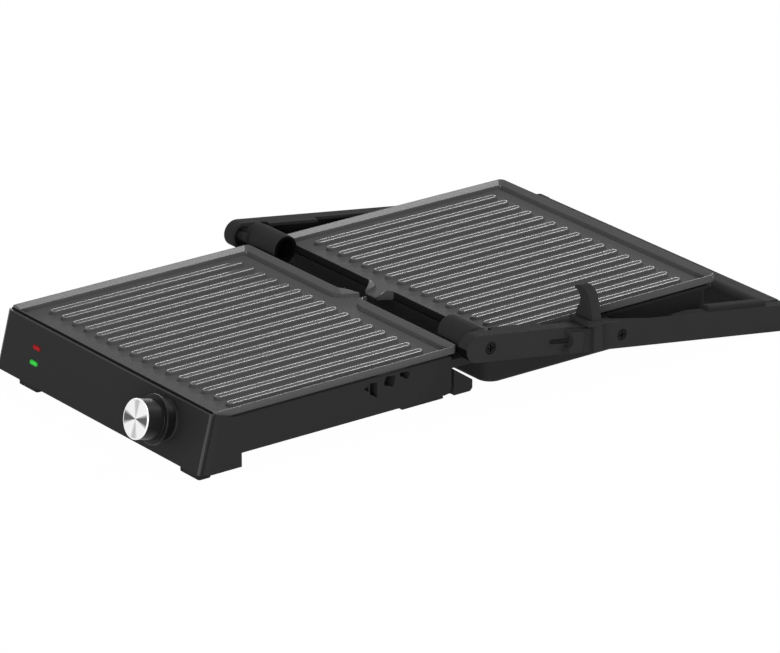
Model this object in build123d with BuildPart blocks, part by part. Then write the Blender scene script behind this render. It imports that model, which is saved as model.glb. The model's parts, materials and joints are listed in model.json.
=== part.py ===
from build123d import *
import math
import os

os.makedirs("parts", exist_ok=True)

# Contact grill, laid open flat: the base in front (-Y), the lid floating in its arms behind (+Y).
# Millimetres, +Z up. The origin lies on the table, under the middle of the whole grill.

# Cooking plates: two cast trays, face up, each side of the hinge line
plate_w = 290.0
plate_d = 238.7
plate_gap = 31.4
crest_z = 56.0
plate_corner = 4.5
rim_land = 0.6
rim_run = 4.2
rim_drop = 3.6
rim_step = 0.6
floor_drop = 7.0
outer_wall_h = 6.3
pan_inset = 4.0
pan_floor_t = 3.0
rib_count = 16
rib_pitch = 16.62
rib_h = 3.0
rib_top_w = 5.2
rib_side_run = 1.3
rib_margin_hinge = 21.6
rib_margin_outer = 23.4
plate_boss_r = 5.0
plate_boss_h = 10.0
plate_boss_inset_x = 20.0
plate_boss_inset_y = 28.0

# Grease spout of the base plate and the tongue of the lid plate that pours into it
lip_floor_t = 1.5
lip_root_r = 8.0
spout_root_half = 15.5
spout_tip_half = 5.6
spout_reach = 12.4
spout_tip_drop = 3.8
spout_level_run = 3.0
spout_tip_bank = 0.6
tongue_root_half = 13.4
tongue_tip_half = 8.9
tongue_reach = 9.8
tongue_tip_drop = 5.3
tongue_level_run = 3.0
tongue_tip_bank = 1.3

# Hinge line between the plates
hinge_rise = 1.1
barrel_r = 12.0
barrel_len = 37.0
spindle_r = 8.5
spindle_inset = 12.0
running_gap = 0.05
stud_gap = 0.4
bracket_t = 7.0
bracket_reach = 26.5

# Base housing
wall_t = 2.5
plate_gap_side = 0.8
face_ahead = 2.7
face_top_drop = 2.0
face_lean = 15.0
face_bottom_z = 5.5
panel_t = 2.0
panel_bevel = 3.5
housing_corner = 8.0
side_bottom_z = 17.3
leg_len = 23.0
ramp_ahead = 0.7
ramp_len = 16.0
rear_inset = 8.5
rear_corner = 6.5
rear_lip_from = 57.6
rear_lip_to = 16.4
rear_lip_z = 14.8
ledge_t = 2.5
ledge_w = 8.8
ledge_front_gap = 14.0
ledge_barrel_gap = 92.0
ledge_rear_len = 36.0
tab_w = 12.0
cover_t = 2.0
cover_gap = 0.2

# Feet
front_foot_w = 27.0
front_foot_d = 12.6
front_foot_right_inset = 17.2
front_foot_left_inset = 43.5
front_foot_setback = 2.0
front_foot_corner = 2.5
rear_foot_r = 8.0
rear_foot_inset_x = 50.0
rear_foot_inset_y = 40.0

# Height catches in the right side wall, as steps for the lock's nose
catch_depth = 8.0
catch_wall = 1.6
catch_rib = 1.2
catch_mid = 73.0
catch_pocket_w = 54.0
catch_pocket_h = 17.0
catch_1 = (90.2, 10.3)
catch_2 = (76.2, 8.2)
catch_3 = (60.3, 8.2)

# Knob, thermostat and lamps on the leaning face
knob_inset = 55.0
knob_z = 34.0
knob_proud = 31.0
knob_cap_r = 17.0
knob_cap_t = 1.5
knob_body_r = 16.4
knob_neck_r = 16.6
knob_skirt_r = 20.4
knob_skirt_from = 12.4
knob_skirt_t = 2.2
knob_gap = 0.5
bezel_r = 17.0
bezel_t = 3.0
shaft_r = 3.0
shaft_gap = 0.6
shaft_behind = 7.5
lamp_inset = 49.4
lamp_red_z = 35.9
lamp_green_z = 23.6
lens_w = 11.0
lens_h = 4.0
lens_proud = 0.6
lens_gap = 0.05
board_w = 34.0
board_h = 26.0
board_t = 1.6
board_gap = 6.0
stand_off_r = 2.5
stand_off_pitch = 26.0
lamp_r = 1.4
lamp_len = 5.0

# Arms: channel mouldings joined by the handle into a U
arm_beside = 11.5
arm_w = 12.0
arm_wall = 2.5
arm_half = 11.4
arm_len = 318.5
arm_heel_r = 8.0
arm_toe_r = 3.0
arm_nose_ahead = 12.6
arm_wide_beside = 5.5
arm_wide_to = 60.0
stud_r = 3.7
stud_proud = 0.1
flange_cut_from = 118.0
flange_cut_full = 165.0
flange_cut_to = 237.0
grip_depth = 23.0
grip_top = 25.0
grip_slope = 2.0
grip_foot_gap = 0.4

# Lid: shell, floating pivot
pivot_at = 137.3
pivot_pin_r = 4.0
pivot_boss_r = 8.0
pivot_bolt_r = 2.5
lid_shell_inset = 4.0
lid_shell_near = 1.6
lid_shell_far = 2.0
lid_shell_bottom = 11.7
lid_corner = 14.0
lid_flange = 3.0
lid_flange_rise = 1.4

# Height lock on the right arm
slot_w = 4.3
lock_at = 91.0
lock_travel = 28.5
lock_proud = 6.3
lock_gap = 0.15
lock_nose_gap = 0.5
lock_foot_beside = 5.0
lock_nose_rise = 26.5
lock_nose_lip = 2.2
lock_back_drop = 25.0
lock_blade_from = 117.0
lock_blade_d = 9.0
lock_plate_from = 76.0
lock_plate_to = 115.0
lock_plate_t = 3.0
lock_boss_w = 14.0
lock_boss_inset = 1.5
lock_thumb_r = 5.6
lock_foot_from = 94.5
lock_foot_w = 15.0
lock_foot_h = 4.4
washer_r = 5.5
washer_t = 0.8

# Drip tray behind the base
tray_front = 5.6
tray_d = 18.9
tray_top_drop = 18.6
tray_rear_drop = 31.7
tray_bottom_drop = 41.4
tray_wall = 1.6
tray_gap = 0.3
tray_foot_bevel = 2.5
rail_t = 1.8
rail_inset = 7.8
shelf_reach = 4.0
keeper_t = 1.2
keeper_h = 4.0

# Heating
element_r = 3.3
element_bend = 14.0
element_end_bend = 4.5
element_inset_x = 37.0
element_inset_y = 34.0
element_loop_w = 38.0
element_turn_y = 92.0
element_end_x = 14.0
element_end_drop = 13.0
shield_t = 0.8
shield_inset_x = 29.0
shield_inset_y = 24.3
shield_corner = 6.0
shield_h = 7.0

# Screws
screw_r = 1.8
screw_head_r = 3.6
screw_head_t = 2.2
screw_gap = 0.2
recess_r = 5.4
recess_depth = 1.3
hinge_screw_len = 16.0
cover_screw_len = 12.0
cover_head_t = 1.6
post_r = 5.0
post_inset_y = 48.0
tab_screw_len = 10.0
lid_screw_len = 11.0
lid_screw_sink = 4.0

# Cooling slots of the bottom cover
vent_count = 11
vent_pitch = 9.0
vent_len = 60.0
vent_w = 3.2

# Thermostat, fuse, terminals and cord gland
thermostat_r = 11.0
thermostat_neck = 8.0
thermostat_w = 26.0
thermostat_h = 20.0
thermostat_d = 9.0
blade_len = 7.0
fuse_x = -60.0
fuse_r = 3.0
fuse_len = 24.0
terminals_x = -100.0
terminals_w = 16.0
terminals_len = 34.0
terminals_h = 8.0
gland_r = 6.0
gland_collar_r = 8.0
gland_bore_r = 3.5
gland_len = 14.0
gland_inset_y = 36.0
gland_rise = 14.0

# Places worked out from the sizes above
hinge_z = crest_z + hinge_rise
lean = math.radians(face_lean)
heel_run = arm_len - arm_heel_r
heel_half = arm_half - arm_heel_r
arm_tilt = math.asin((hinge_z - arm_heel_r) / math.hypot(heel_run, heel_half)) - math.atan2(heel_half, heel_run)
cos_arm = math.cos(arm_tilt)
sin_arm = math.sin(arm_tilt)
face_top_z = crest_z - face_top_drop
knob_front = knob_proud * math.cos(lean) + knob_cap_r * math.sin(lean)
front_reach = plate_gap / 2 + plate_d + face_ahead + (face_top_z - knob_z) * math.tan(lean) + knob_front
back_reach = arm_len * cos_arm + arm_half * sin_arm
hinge_y = (front_reach - back_reach) / 2
base_back = hinge_y - plate_gap / 2
base_front = base_back - plate_d
base_mid = (base_back + base_front) / 2
lid_near = hinge_y + plate_gap / 2
lid_far = lid_near + plate_d
lid_mid = (lid_near + lid_far) / 2
floor_z = crest_z - floor_drop
shoulder_z = crest_z - outer_wall_h
pan_z = floor_z - pan_floor_t
boss_z = pan_z - plate_boss_h
plate_boss_x = plate_w / 2 - plate_boss_inset_x
inner_half = plate_w / 2 + plate_gap_side
housing_half = inner_half + wall_t
panel_half = plate_w / 2
knob_x = plate_w / 2 - knob_inset
lamp_x = lamp_inset - plate_w / 2
front_foot_right_x = plate_w / 2 - front_foot_right_inset
front_foot_left_x = front_foot_left_inset - plate_w / 2
rear_foot_x = plate_w / 2 - rear_foot_inset_x
arm_in = plate_w / 2 + arm_beside
arm_outer = arm_in + arm_w
web_in = arm_outer - arm_wall
spindle_end = web_in - arm_wall
arm_wide_inner = plate_w / 2 + arm_wide_beside
stud_in = arm_wide_inner - stud_proud
barrel_out = stud_in - stud_gap
barrel_in = barrel_out - barrel_len
spindle_in = barrel_in + spindle_inset
lid_shell_half = plate_w / 2 - lid_shell_inset
lock_outer = arm_outer + lock_proud
lock_inner = plate_w / 2 + lock_foot_beside
lock_nose_x = housing_half + lock_nose_gap
slot_from = lock_at - lock_travel - slot_w / 2 - lock_gap
tray_half = housing_half - tray_gap
rail_half = inner_half - rail_inset
shield_w = plate_w - 2 * shield_inset_x
shield_d = plate_d - 2 * shield_inset_y
face_top_y = base_front - face_ahead
rear_y = base_back - rear_inset
leg_y = base_front + leg_len
wall_top_z = crest_z - floor_drop
rib_len = plate_d - rib_margin_hinge - rib_margin_outer
pivot_y = hinge_y + pivot_at * cos_arm
pivot_z = hinge_z - pivot_at * sin_arm
cover_z = side_bottom_z
rear_post_x = inner_half - wall_t - ledge_w - wall_t
rear_post_y = rear_y - wall_t - post_r + 1
cover_posts = ((inner_half - post_r + 0.2, base_front + post_inset_y), (rear_post_x, rear_post_y))


def face_y(z, back=0.0):
    """Y of the leaning face at height z, or of a plane parallel to it, back behind it."""
    return face_top_y - (face_top_z - z) * math.tan(lean) + back / math.cos(lean)


def face_plane(x, z, out=0.0):
    """Plane on the leaning face: local X to the right, local Y up the face, Z outwards."""
    normal = Vector(0, -math.cos(lean), math.sin(lean))
    origin = Vector(x, face_y(z), z) + normal * out
    return Plane(origin=origin, x_dir=(1, 0, 0), z_dir=normal)


def arm_plane(x):
    """Plane across the arms: local X along the arm from the hinge line, local Y above its middle."""
    return Plane(origin=(x, hinge_y, hinge_z), x_dir=(0, cos_arm, -sin_arm), z_dir=(1, 0, 0))


def side_plane(x, sign=1):
    """Plane facing outwards on the right (1) or left (-1) side, local X along +Y or -Y."""
    return Plane(origin=(x, 0, 0), x_dir=(0, sign, 0), z_dir=(sign, 0, 0))


def hinge_plane(x, sign):
    """Plane on the hinge line, facing outwards on the right (1) or left (-1) side."""
    return Plane(origin=(x, hinge_y, hinge_z), x_dir=(0, sign, 0), z_dir=(sign, 0, 0))


def cast_tray(mid_y, rib_mid_y):
    """One cooking tray: outer wall, inset pan, sloping rim, floor and round-ended ribs."""
    with BuildPart() as tray:
        with BuildSketch(Plane((0, mid_y, shoulder_z))):
            RectangleRounded(plate_w, plate_d, plate_corner)
        extrude(amount=outer_wall_h)
        with BuildSketch(Plane((0, mid_y, pan_z))):
            RectangleRounded(plate_w - 2 * pan_inset, plate_d - 2 * pan_inset, plate_corner)
        extrude(amount=shoulder_z - pan_z)
        levels = (
            (0.0, rim_land),
            (rim_drop, rim_land + rim_run),
            (floor_drop, rim_land + rim_run + rim_step),
        )
        for (drop_a, inset_a), (drop_b, inset_b) in zip(levels, levels[1:]):
            with BuildSketch(Plane((0, mid_y, crest_z - drop_a))):
                RectangleRounded(plate_w - 2 * inset_a, plate_d - 2 * inset_a, plate_corner - rim_land)
            with BuildSketch(Plane((0, mid_y, crest_z - drop_b))):
                RectangleRounded(plate_w - 2 * inset_b, plate_d - 2 * inset_b, plate_corner - rim_land)
            loft(ruled=True, mode=Mode.SUBTRACT)
        with BuildSketch(Plane((0, rib_mid_y, floor_z))):
            with GridLocations(rib_pitch, rib_len, rib_count, 1):
                SlotOverall(rib_len, rib_top_w + 2 * rib_side_run, rotation=90)
        extrude(amount=rib_h, taper=math.degrees(math.atan2(rib_side_run, rib_h)))
        with BuildSketch(Plane((0, mid_y, pan_z))):
            with GridLocations(2 * plate_boss_x, plate_d - 2 * plate_boss_inset_y, 2, 2):
                Circle(plate_boss_r)
        extrude(amount=-plate_boss_h)
        with BuildSketch(Plane((0, mid_y, boss_z))):
            with GridLocations(2 * plate_boss_x, plate_d - 2 * plate_boss_inset_y, 2, 2):
                Circle(screw_r)
        extrude(amount=plate_boss_h, mode=Mode.SUBTRACT)
    return tray.part


def lip_corners(way, root_half, tip_half, reach, inset, tip_inset, back):
    """Corners of a pouring lip, or of its channel inset from it, from the rim out to the tip."""
    slant = math.hypot(root_half - tip_half, reach)
    root = root_half - inset * (slant - root_half + tip_half) / reach
    half = ((root, -inset - back), (root, -inset), (tip_half - tip_inset, reach))
    right = [(x, way * y) for x, y in half]
    return right + [(-x, y) for x, y in reversed(right)]


def pouring_lip(edge_y, way, root_half, tip_half, reach, tip_drop, level_run):
    """The solid outside of an open lip on the plate's rim at edge_y, falling towards its tip."""
    under_z = floor_z - lip_floor_t
    slab_d = 2 * pan_inset
    tip_fall = tip_drop * (2 * reach - level_run) / (reach - level_run)
    with BuildPart() as lip:
        with BuildSketch(Plane((0, edge_y, under_z))) as outside:
            Polygon(*lip_corners(way, root_half, tip_half, reach, 0, 0, rim_land), align=None)
            with Locations((0, -way * rim_land / 2)):
                Rectangle(2 * (root_half + lip_root_r), rim_land)
            for sign in (-1, 1):
                fillet(outside.vertices().sort_by_distance((sign * root_half, 0))[0], lip_root_r)
        extrude(amount=crest_z - under_z)
        with BuildSketch(Plane.YZ.offset(-root_half)):
            Polygon(
                (edge_y + way * level_run, crest_z),
                (edge_y + way * 2 * reach, crest_z),
                (edge_y + way * 2 * reach, crest_z - tip_fall),
                align=None,
            )
        extrude(amount=2 * root_half, mode=Mode.SUBTRACT)
        with BuildSketch(Plane((0, edge_y - way * slab_d / 2, under_z))):
            Rectangle(2 * (root_half - rim_land), slab_d)
        extrude(amount=lip_floor_t)
    return lip.part


def lip_channel(edge_y, way, root_half, tip_half, reach, tip_bank):
    """What is cut out of an open lip: the rim's slope and step, turned along its banks."""
    levels = (
        (0.0, rim_land, rim_land),
        (rim_drop, rim_land + rim_run, rim_land + tip_bank),
        (floor_drop, rim_land + rim_run + rim_step, rim_land + tip_bank + rim_step),
    )
    with BuildPart() as channel:
        for upper_level, lower_level in zip(levels, levels[1:]):
            for drop, inset, tip_inset in (upper_level, lower_level):
                corners = lip_corners(way, root_half, tip_half, reach + 1, inset, tip_inset, rim_run)
                with BuildSketch(Plane((0, edge_y, crest_z - drop))):
                    Polygon(*corners, align=None)
            loft(ruled=True)
    return channel.part


# Lower plate: the tray with its pouring spout over the drip tray
spout_plan = (base_back, 1, spout_root_half, spout_tip_half, spout_reach)
with BuildPart() as lower_plate:
    add(cast_tray(base_mid, base_mid + (rib_margin_outer - rib_margin_hinge) / 2))
    add(pouring_lip(*spout_plan, spout_tip_drop, spout_level_run))
    add(lip_channel(*spout_plan, spout_tip_bank), mode=Mode.SUBTRACT)
lower_plate.part.label = "lower_plate"
export_step(lower_plate.part, "parts/lower_plate.step")

# Upper plate: the same tray, turned over the hinge line, with its shorter tongue
tongue_plan = (lid_near, -1, tongue_root_half, tongue_tip_half, tongue_reach)
with BuildPart() as upper_plate:
    add(cast_tray(lid_mid, lid_mid - (rib_margin_outer - rib_margin_hinge) / 2))
    add(pouring_lip(*tongue_plan, tongue_tip_drop, tongue_level_run))
    add(lip_channel(*tongue_plan, tongue_tip_bank), mode=Mode.SUBTRACT)
upper_plate.part.label = "upper_plate"
export_step(upper_plate.part, "parts/upper_plate.step")


# Base housing: an open-bottomed moulding, its front leaning back behind the panel
with BuildPart() as housing_core:
    with BuildSketch(Plane.YZ.offset(-inner_half)):
        Polygon(
            (face_y(crest_z + 10, panel_t + wall_t), crest_z + 10),
            (rear_y - wall_t, crest_z + 10),
            (rear_y - wall_t, -10),
            (face_y(-10, panel_t + wall_t), -10),
            align=None,
        )
    extrude(amount=2 * inner_half)
    leaning_edges = housing_core.edges().filter_by(lambda e: e.center().Y < base_front - 2 and e.length > 50)
    fillet(leaning_edges.filter_by(lambda e: abs(e.center().X) > inner_half - 1), housing_corner - wall_t)

with BuildPart() as base_housing:
    with BuildSketch(Plane.YZ.offset(-housing_half)):
        with BuildLine():
            Polyline(
                (face_y(face_top_z, panel_t), face_top_z),
                (base_front + ramp_ahead, face_top_z),
                (base_front + ramp_ahead + ramp_len, wall_top_z),
                (rear_y, wall_top_z),
                (rear_y, side_bottom_z),
                (leg_y, side_bottom_z),
                (leg_y, face_bottom_z),
                (face_y(face_bottom_z, panel_t), face_bottom_z),
                close=True,
            )
        make_face()
    extrude(amount=2 * housing_half)
    outer_edges = base_housing.edges().filter_by(lambda e: abs(e.center().X) > housing_half - 1)
    fillet(outer_edges.filter_by(lambda e: e.center().Y < base_front - 3 and e.length > 40), housing_corner)
    across = base_housing.edges().filter_by(Axis.X)
    fillet(across.sort_by_distance((0, rear_y, side_bottom_z))[0], rear_corner)
    add(housing_core.part, mode=Mode.SUBTRACT)
    # The front wall and the rear wall stop under the plate, the corners rise round it
    with BuildSketch(Plane((0, base_mid, wall_top_z))):
        RectangleRounded(2 * inner_half, plate_d + 2 * plate_gap_side, plate_corner + plate_gap_side)
        with Locations((0, -plate_d / 2)):
            Rectangle(2 * (housing_half - housing_corner), 12 * plate_gap_side)
    extrude(amount=floor_drop, mode=Mode.SUBTRACT)
    with BuildSketch(Plane((0, rear_y, pan_z))):
        Rectangle(2 * inner_half, 6 * wall_t)
    extrude(amount=floor_drop, mode=Mode.SUBTRACT)
    # Seat ledges along the side walls
    for sign in (-1, 1):
        front_ledge = (base_front + ledge_front_gap, rear_y - ledge_barrel_gap)
        rear_ledge = (rear_y - ledge_rear_len, rear_y - wall_t + 0.2)
        for from_y, to_y in (front_ledge, rear_ledge):
            ledge_mid = (from_y + to_y) / 2
            with BuildSketch(Plane((sign * (inner_half + 0.2 - ledge_w / 2), ledge_mid, pan_z))):
                Rectangle(ledge_w, to_y - from_y)
            extrude(amount=-ledge_t)
        # Tabs under the plate's bosses, on the side wall
        tab_from = plate_boss_x - plate_boss_r
        tab_to = inner_half + 0.2
        for tab_y in (base_front + plate_boss_inset_y, base_back - plate_boss_inset_y):
            with BuildSketch(Plane((sign * (tab_from + tab_to) / 2, tab_y, boss_z))):
                Rectangle(tab_to - tab_from, tab_w)
                with Locations((sign * (plate_boss_x - (tab_from + tab_to) / 2), 0)):
                    Circle(screw_r + screw_gap, mode=Mode.SUBTRACT)
            extrude(amount=-ledge_t)
        # Posts for the bottom cover's screws
        for post_x, post_y in cover_posts:
            with BuildSketch(Plane((sign * post_x, post_y, side_bottom_z + cover_t))):
                Circle(post_r)
                Circle(screw_r, mode=Mode.SUBTRACT)
            extrude(amount=boss_z - ledge_t - side_bottom_z - cover_t)
        # Lips that stand below the side walls at the rear
        with BuildSketch(side_plane(sign * (housing_half - 0.8 - 6.0), sign)):
            lip_mid = base_back - (rear_lip_from + rear_lip_to) / 2
            with Locations((sign * lip_mid, (rear_lip_z + side_bottom_z) / 2)):
                Rectangle(rear_lip_from - rear_lip_to, side_bottom_z - rear_lip_z)
        extrude(amount=6.0)
        # Brackets under the hinge barrels
        with BuildSketch(side_plane(sign * barrel_in, sign)):
            with Locations((sign * (rear_y - 1 + (bracket_reach + 1) / 2), pan_z - bracket_t / 2)):
                Rectangle(bracket_reach + 1, bracket_t)
            with Locations((sign * hinge_y, hinge_z)):
                Circle(barrel_r, mode=Mode.SUBTRACT)
        extrude(amount=housing_half - barrel_in - 0.3)
    # Pocket behind the height catches, closed to the inside
    with BuildSketch(side_plane(inner_half - catch_depth - catch_wall)):
        with Locations((base_back - catch_mid, pan_z - catch_pocket_h / 2)):
            Rectangle(catch_pocket_w, catch_pocket_h)
    extrude(amount=catch_depth + catch_wall + 0.2)
    # The catches: a split first one and two more, each measured from its front upper corner
    catch_shapes = (
        (catch_1, ((-catch_rib, -1.3), (-catch_rib - 4.9, -3.5), (-catch_rib, -7.1))),
        (catch_1, ((0, 0), (7.2, -0.5), (7.2, -13.9), (0, -9.2))),
        (catch_2, ((2.1, 0), (10.6, -0.9), (11.2, -4.2), (9.2, -10.2), (0, -7.6), (0.1, -4.6))),
        (catch_3, ((0, 0), (8.9, -0.7), (9.8, -2.3), (8.1, -7.2), (4.0, -6.1), (3.8, -4.7), (0, -3.4))),
    )
    with BuildSketch(side_plane(inner_half - catch_depth)):
        for (catch_at, catch_drop), corners in catch_shapes:
            with Locations((base_back - catch_at, crest_z - catch_drop)):
                Polygon(*corners, align=None)
    extrude(amount=catch_depth + 2 * wall_t, mode=Mode.SUBTRACT)
    # Rails that the drip tray slides on: a shelf under it and a keeper over its front wall
    with BuildSketch(Plane.YZ.offset(-rail_half)):
        shelf_top = crest_z - tray_bottom_drop - tray_gap
        shelf_back = base_back + shelf_reach
        Polygon(
            (rear_y - wall_t, side_bottom_z + rear_corner + 1), (rear_y - wall_t, shelf_top - rail_t),
            (shelf_back, shelf_top - rail_t), (shelf_back, shelf_top),
            (rear_y, shelf_top), (rear_y, side_bottom_z + rear_corner + 1),
            align=None,
        )
        keeper_z = crest_z - tray_top_drop + tray_gap
        keeper_back = base_back - tray_front + tray_wall + tray_gap
        Polygon(
            (rear_y - 1, keeper_z + rail_t), (rear_y - 1, keeper_z), (keeper_back, keeper_z),
            (keeper_back, keeper_z - keeper_h), (keeper_back + keeper_t, keeper_z - keeper_h),
            (keeper_back + keeper_t, keeper_z + rail_t),
            align=None,
        )
    extrude(amount=2 * rail_half)
    # Holes in the front wall for the shaft and the lamps
    with BuildSketch(face_plane(knob_x, knob_z, -panel_t - wall_t - 1)):
        Circle(shaft_r + shaft_gap)
    extrude(amount=wall_t + 2, mode=Mode.SUBTRACT)
    for lamp_z in (lamp_red_z, lamp_green_z):
        with BuildSketch(face_plane(lamp_x, lamp_z, -panel_t - wall_t - 1)):
            SlotOverall(lens_w - 2, lens_h - 1)
        extrude(amount=wall_t + 2, mode=Mode.SUBTRACT)
    # Hole in the left side wall for the cord gland
    gland_y = rear_y - gland_inset_y
    gland_z = side_bottom_z + gland_rise
    with BuildSketch(side_plane(-housing_half - 1, -1)):
        with Locations((-gland_y, gland_z)):
            Circle(gland_r + running_gap)
    extrude(amount=-wall_t - 2, mode=Mode.SUBTRACT)
base_housing.part.label = "base_housing"
export_step(base_housing.part, "parts/base_housing.step")


# Front panel: a separate leaning plate with bevelled ends, in front of the housing
panel_top_z = face_top_z
with BuildPart() as front_panel:
    with BuildSketch(Plane.YZ.offset(-panel_half)):
        Polygon(
            (face_y(panel_top_z), panel_top_z),
            (face_y(panel_top_z, panel_t), panel_top_z),
            (face_y(face_bottom_z, panel_t), face_bottom_z),
            (face_y(face_bottom_z), face_bottom_z),
            align=None,
        )
    extrude(amount=2 * panel_half)
    end_edges = front_panel.edges().filter_by(lambda e: abs(e.center().X) > panel_half - 0.1 and e.length > 40)
    front_edges = end_edges.filter_by(lambda e: e.center().Y < face_y((panel_top_z + face_bottom_z) / 2) + 0.5)
    for sign in (-1, 1):
        end_face = front_panel.faces().sort_by(Axis.X)[0 if sign < 0 else -1]
        edge = front_edges.sort_by(Axis.X)[0 if sign < 0 else -1]
        chamfer(edge, length=panel_t - 0.4, length2=panel_bevel, reference=end_face)
    with BuildSketch(face_plane(knob_x, knob_z, 1)):
        Circle(shaft_r + shaft_gap)
    extrude(amount=-panel_t - 2, mode=Mode.SUBTRACT)
    for lamp_z in (lamp_red_z, lamp_green_z):
        with BuildSketch(face_plane(lamp_x, lamp_z, 1)):
            SlotOverall(lens_w + 2 * lens_gap, lens_h + 2 * lens_gap)
        extrude(amount=-panel_t - 2, mode=Mode.SUBTRACT)
front_panel.part.label = "front_panel"
export_step(front_panel.part, "parts/front_panel.step")

# Lamp lenses: oval, a little proud of the panel
for lens_name, lamp_z in (("power_lens", lamp_red_z), ("ready_lens", lamp_green_z)):
    with BuildPart() as lens:
        with BuildSketch(face_plane(lamp_x, lamp_z, -panel_t)):
            SlotOverall(lens_w, lens_h)
        extrude(amount=panel_t + lens_proud)
        fillet(lens.faces().sort_by(Axis.Y)[0].edges(), lens_proud * 0.9)
    lens.part.label = lens_name
    export_step(lens.part, "parts/" + lens_name + ".step")

# Lamp board on two stand-offs behind the lenses
board_back = panel_t + wall_t + board_gap
lamp_mid_z = (lamp_red_z + lamp_green_z) / 2
with BuildPart() as lamp_board:
    with BuildSketch(face_plane(lamp_x, lamp_mid_z, -board_back - board_t)):
        Rectangle(board_w, board_h)
    extrude(amount=board_t)
    with BuildSketch(face_plane(lamp_x, lamp_mid_z, -board_back)):
        with GridLocations(stand_off_pitch, 0, 2, 1):
            Circle(stand_off_r)
    extrude(amount=board_gap)
    for lamp_z in (lamp_red_z, lamp_green_z):
        with BuildSketch(face_plane(lamp_x, lamp_z, -board_back)):
            Circle(lamp_r)
        extrude(amount=lamp_len)
lamp_board.part.label = "lamp_board"
export_step(lamp_board.part, "parts/lamp_board.step")

# Bottom cover: a folded sheet that closes the housing, deeper under the front box
front_cover_z = face_bottom_z + 0.5
cover_front = face_y(front_cover_z, panel_t + wall_t) + cover_gap
cover_back = rear_y - wall_t - cover_gap
with BuildPart() as bottom_cover:
    with BuildSketch(Plane.YZ.offset(cover_gap - inner_half)):
        Polygon(
            (cover_front, front_cover_z),
            (leg_y, front_cover_z),
            (leg_y, cover_z),
            (cover_back, cover_z),
            (cover_back, cover_z + cover_t),
            (leg_y - cover_t, cover_z + cover_t),
            (leg_y - cover_t, front_cover_z + cover_t),
            (face_y(front_cover_z + cover_t, panel_t + wall_t) + cover_gap, front_cover_z + cover_t),
            align=None,
        )
    extrude(amount=2 * (inner_half - cover_gap))
    with BuildSketch(Plane((0, 0, cover_z - 1))):
        for post_x, post_y in cover_posts:
            with Locations((post_x, post_y), (-post_x, post_y)):
                Circle(screw_r + screw_gap)
    extrude(amount=cover_t + 2, mode=Mode.SUBTRACT)
    upright = bottom_cover.edges().filter_by(lambda e: e.center().Y < base_front and e.center().Z < 9)
    front_corners = upright.filter_by(lambda e: abs(e.center().X) > inner_half - 1 and e.length < 3)
    fillet(front_corners, housing_corner - wall_t)
    # Cooling slots under the main floor
    with BuildSketch(Plane((0, base_mid, cover_z - 1))):
        with GridLocations(vent_pitch, 0, vent_count, 1):
            SlotOverall(vent_len, vent_w, rotation=90)
    extrude(amount=cover_t + 2, mode=Mode.SUBTRACT)
bottom_cover.part.label = "bottom_cover"
export_step(bottom_cover.part, "parts/bottom_cover.step")

# Cover screws, heads under the cover
with BuildPart() as cover_screws:
    for post_x, post_y in cover_posts:
        with BuildSketch(Plane((0, post_y, cover_z))):
            with Locations((post_x, 0), (-post_x, 0)):
                Circle(screw_head_r)
        extrude(amount=-cover_head_t)
        with BuildSketch(Plane((0, post_y, cover_z))):
            with Locations((post_x, 0), (-post_x, 0)):
                Circle(screw_r)
        extrude(amount=cover_screw_len)
cover_screws.part.label = "cover_screws"
export_step(cover_screws.part, "parts/cover_screws.step")

# Front feet: rubber blocks under the front box; rear feet: round rubber pads under the floor
front_foot_y = face_y(face_bottom_z) + front_foot_setback + front_foot_d / 2
with BuildPart() as front_feet:
    with BuildSketch(Plane((0, front_foot_y, 0))):
        with Locations((front_foot_right_x, 0), (front_foot_left_x, 0)):
            RectangleRounded(front_foot_w, front_foot_d, front_foot_corner)
    extrude(amount=face_bottom_z)
    foot_bottoms = front_feet.edges().group_by(Axis.Z)[0]
    fillet(foot_bottoms, front_foot_corner / 2)
front_feet.part.label = "front_feet"
export_step(front_feet.part, "parts/front_feet.step")

rear_foot_y = base_back - rear_foot_inset_y
with BuildPart() as rear_feet:
    for sign in (-1, 1):
        with BuildSketch(Plane((sign * rear_foot_x, rear_foot_y, 0))):
            Circle(rear_foot_r)
        with BuildSketch(Plane((sign * rear_foot_x, rear_foot_y, cover_z))):
            Circle(rear_foot_r + 2)
        loft()
rear_feet.part.label = "rear_feet"
export_step(rear_feet.part, "parts/rear_feet.step")

# Hinge barrels on the base, open inside, and the spindles that turn in them
for side, sign in (("left", -1), ("right", 1)):
    with BuildPart() as barrel:
        with BuildSketch(hinge_plane(sign * barrel_in, sign)):
            Circle(barrel_r)
            Circle(spindle_r + running_gap, mode=Mode.SUBTRACT)
        extrude(amount=barrel_out - barrel_in)
        chamfer(barrel.edges().filter_by(GeomType.CIRCLE).group_by(SortBy.RADIUS)[-1], 0.6)
    barrel.part.label = "hinge_barrel_" + side
    export_step(barrel.part, "parts/hinge_barrel_" + side + ".step")

for side, sign in (("left", -1), ("right", 1)):
    with BuildPart() as spindle:
        with BuildSketch(hinge_plane(sign * spindle_in, sign)):
            Circle(spindle_r)
        extrude(amount=spindle_end - spindle_in)
        with BuildSketch(hinge_plane(sign * spindle_end, sign)):
            Circle(screw_r)
        extrude(amount=-hinge_screw_len, mode=Mode.SUBTRACT)
        chamfer(spindle.faces().sort_by(Axis.X)[0 if sign > 0 else -1].edges(), 0.8)
    spindle.part.label = "hinge_spindle_" + side
    export_step(spindle.part, "parts/hinge_spindle_" + side + ".step")

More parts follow.
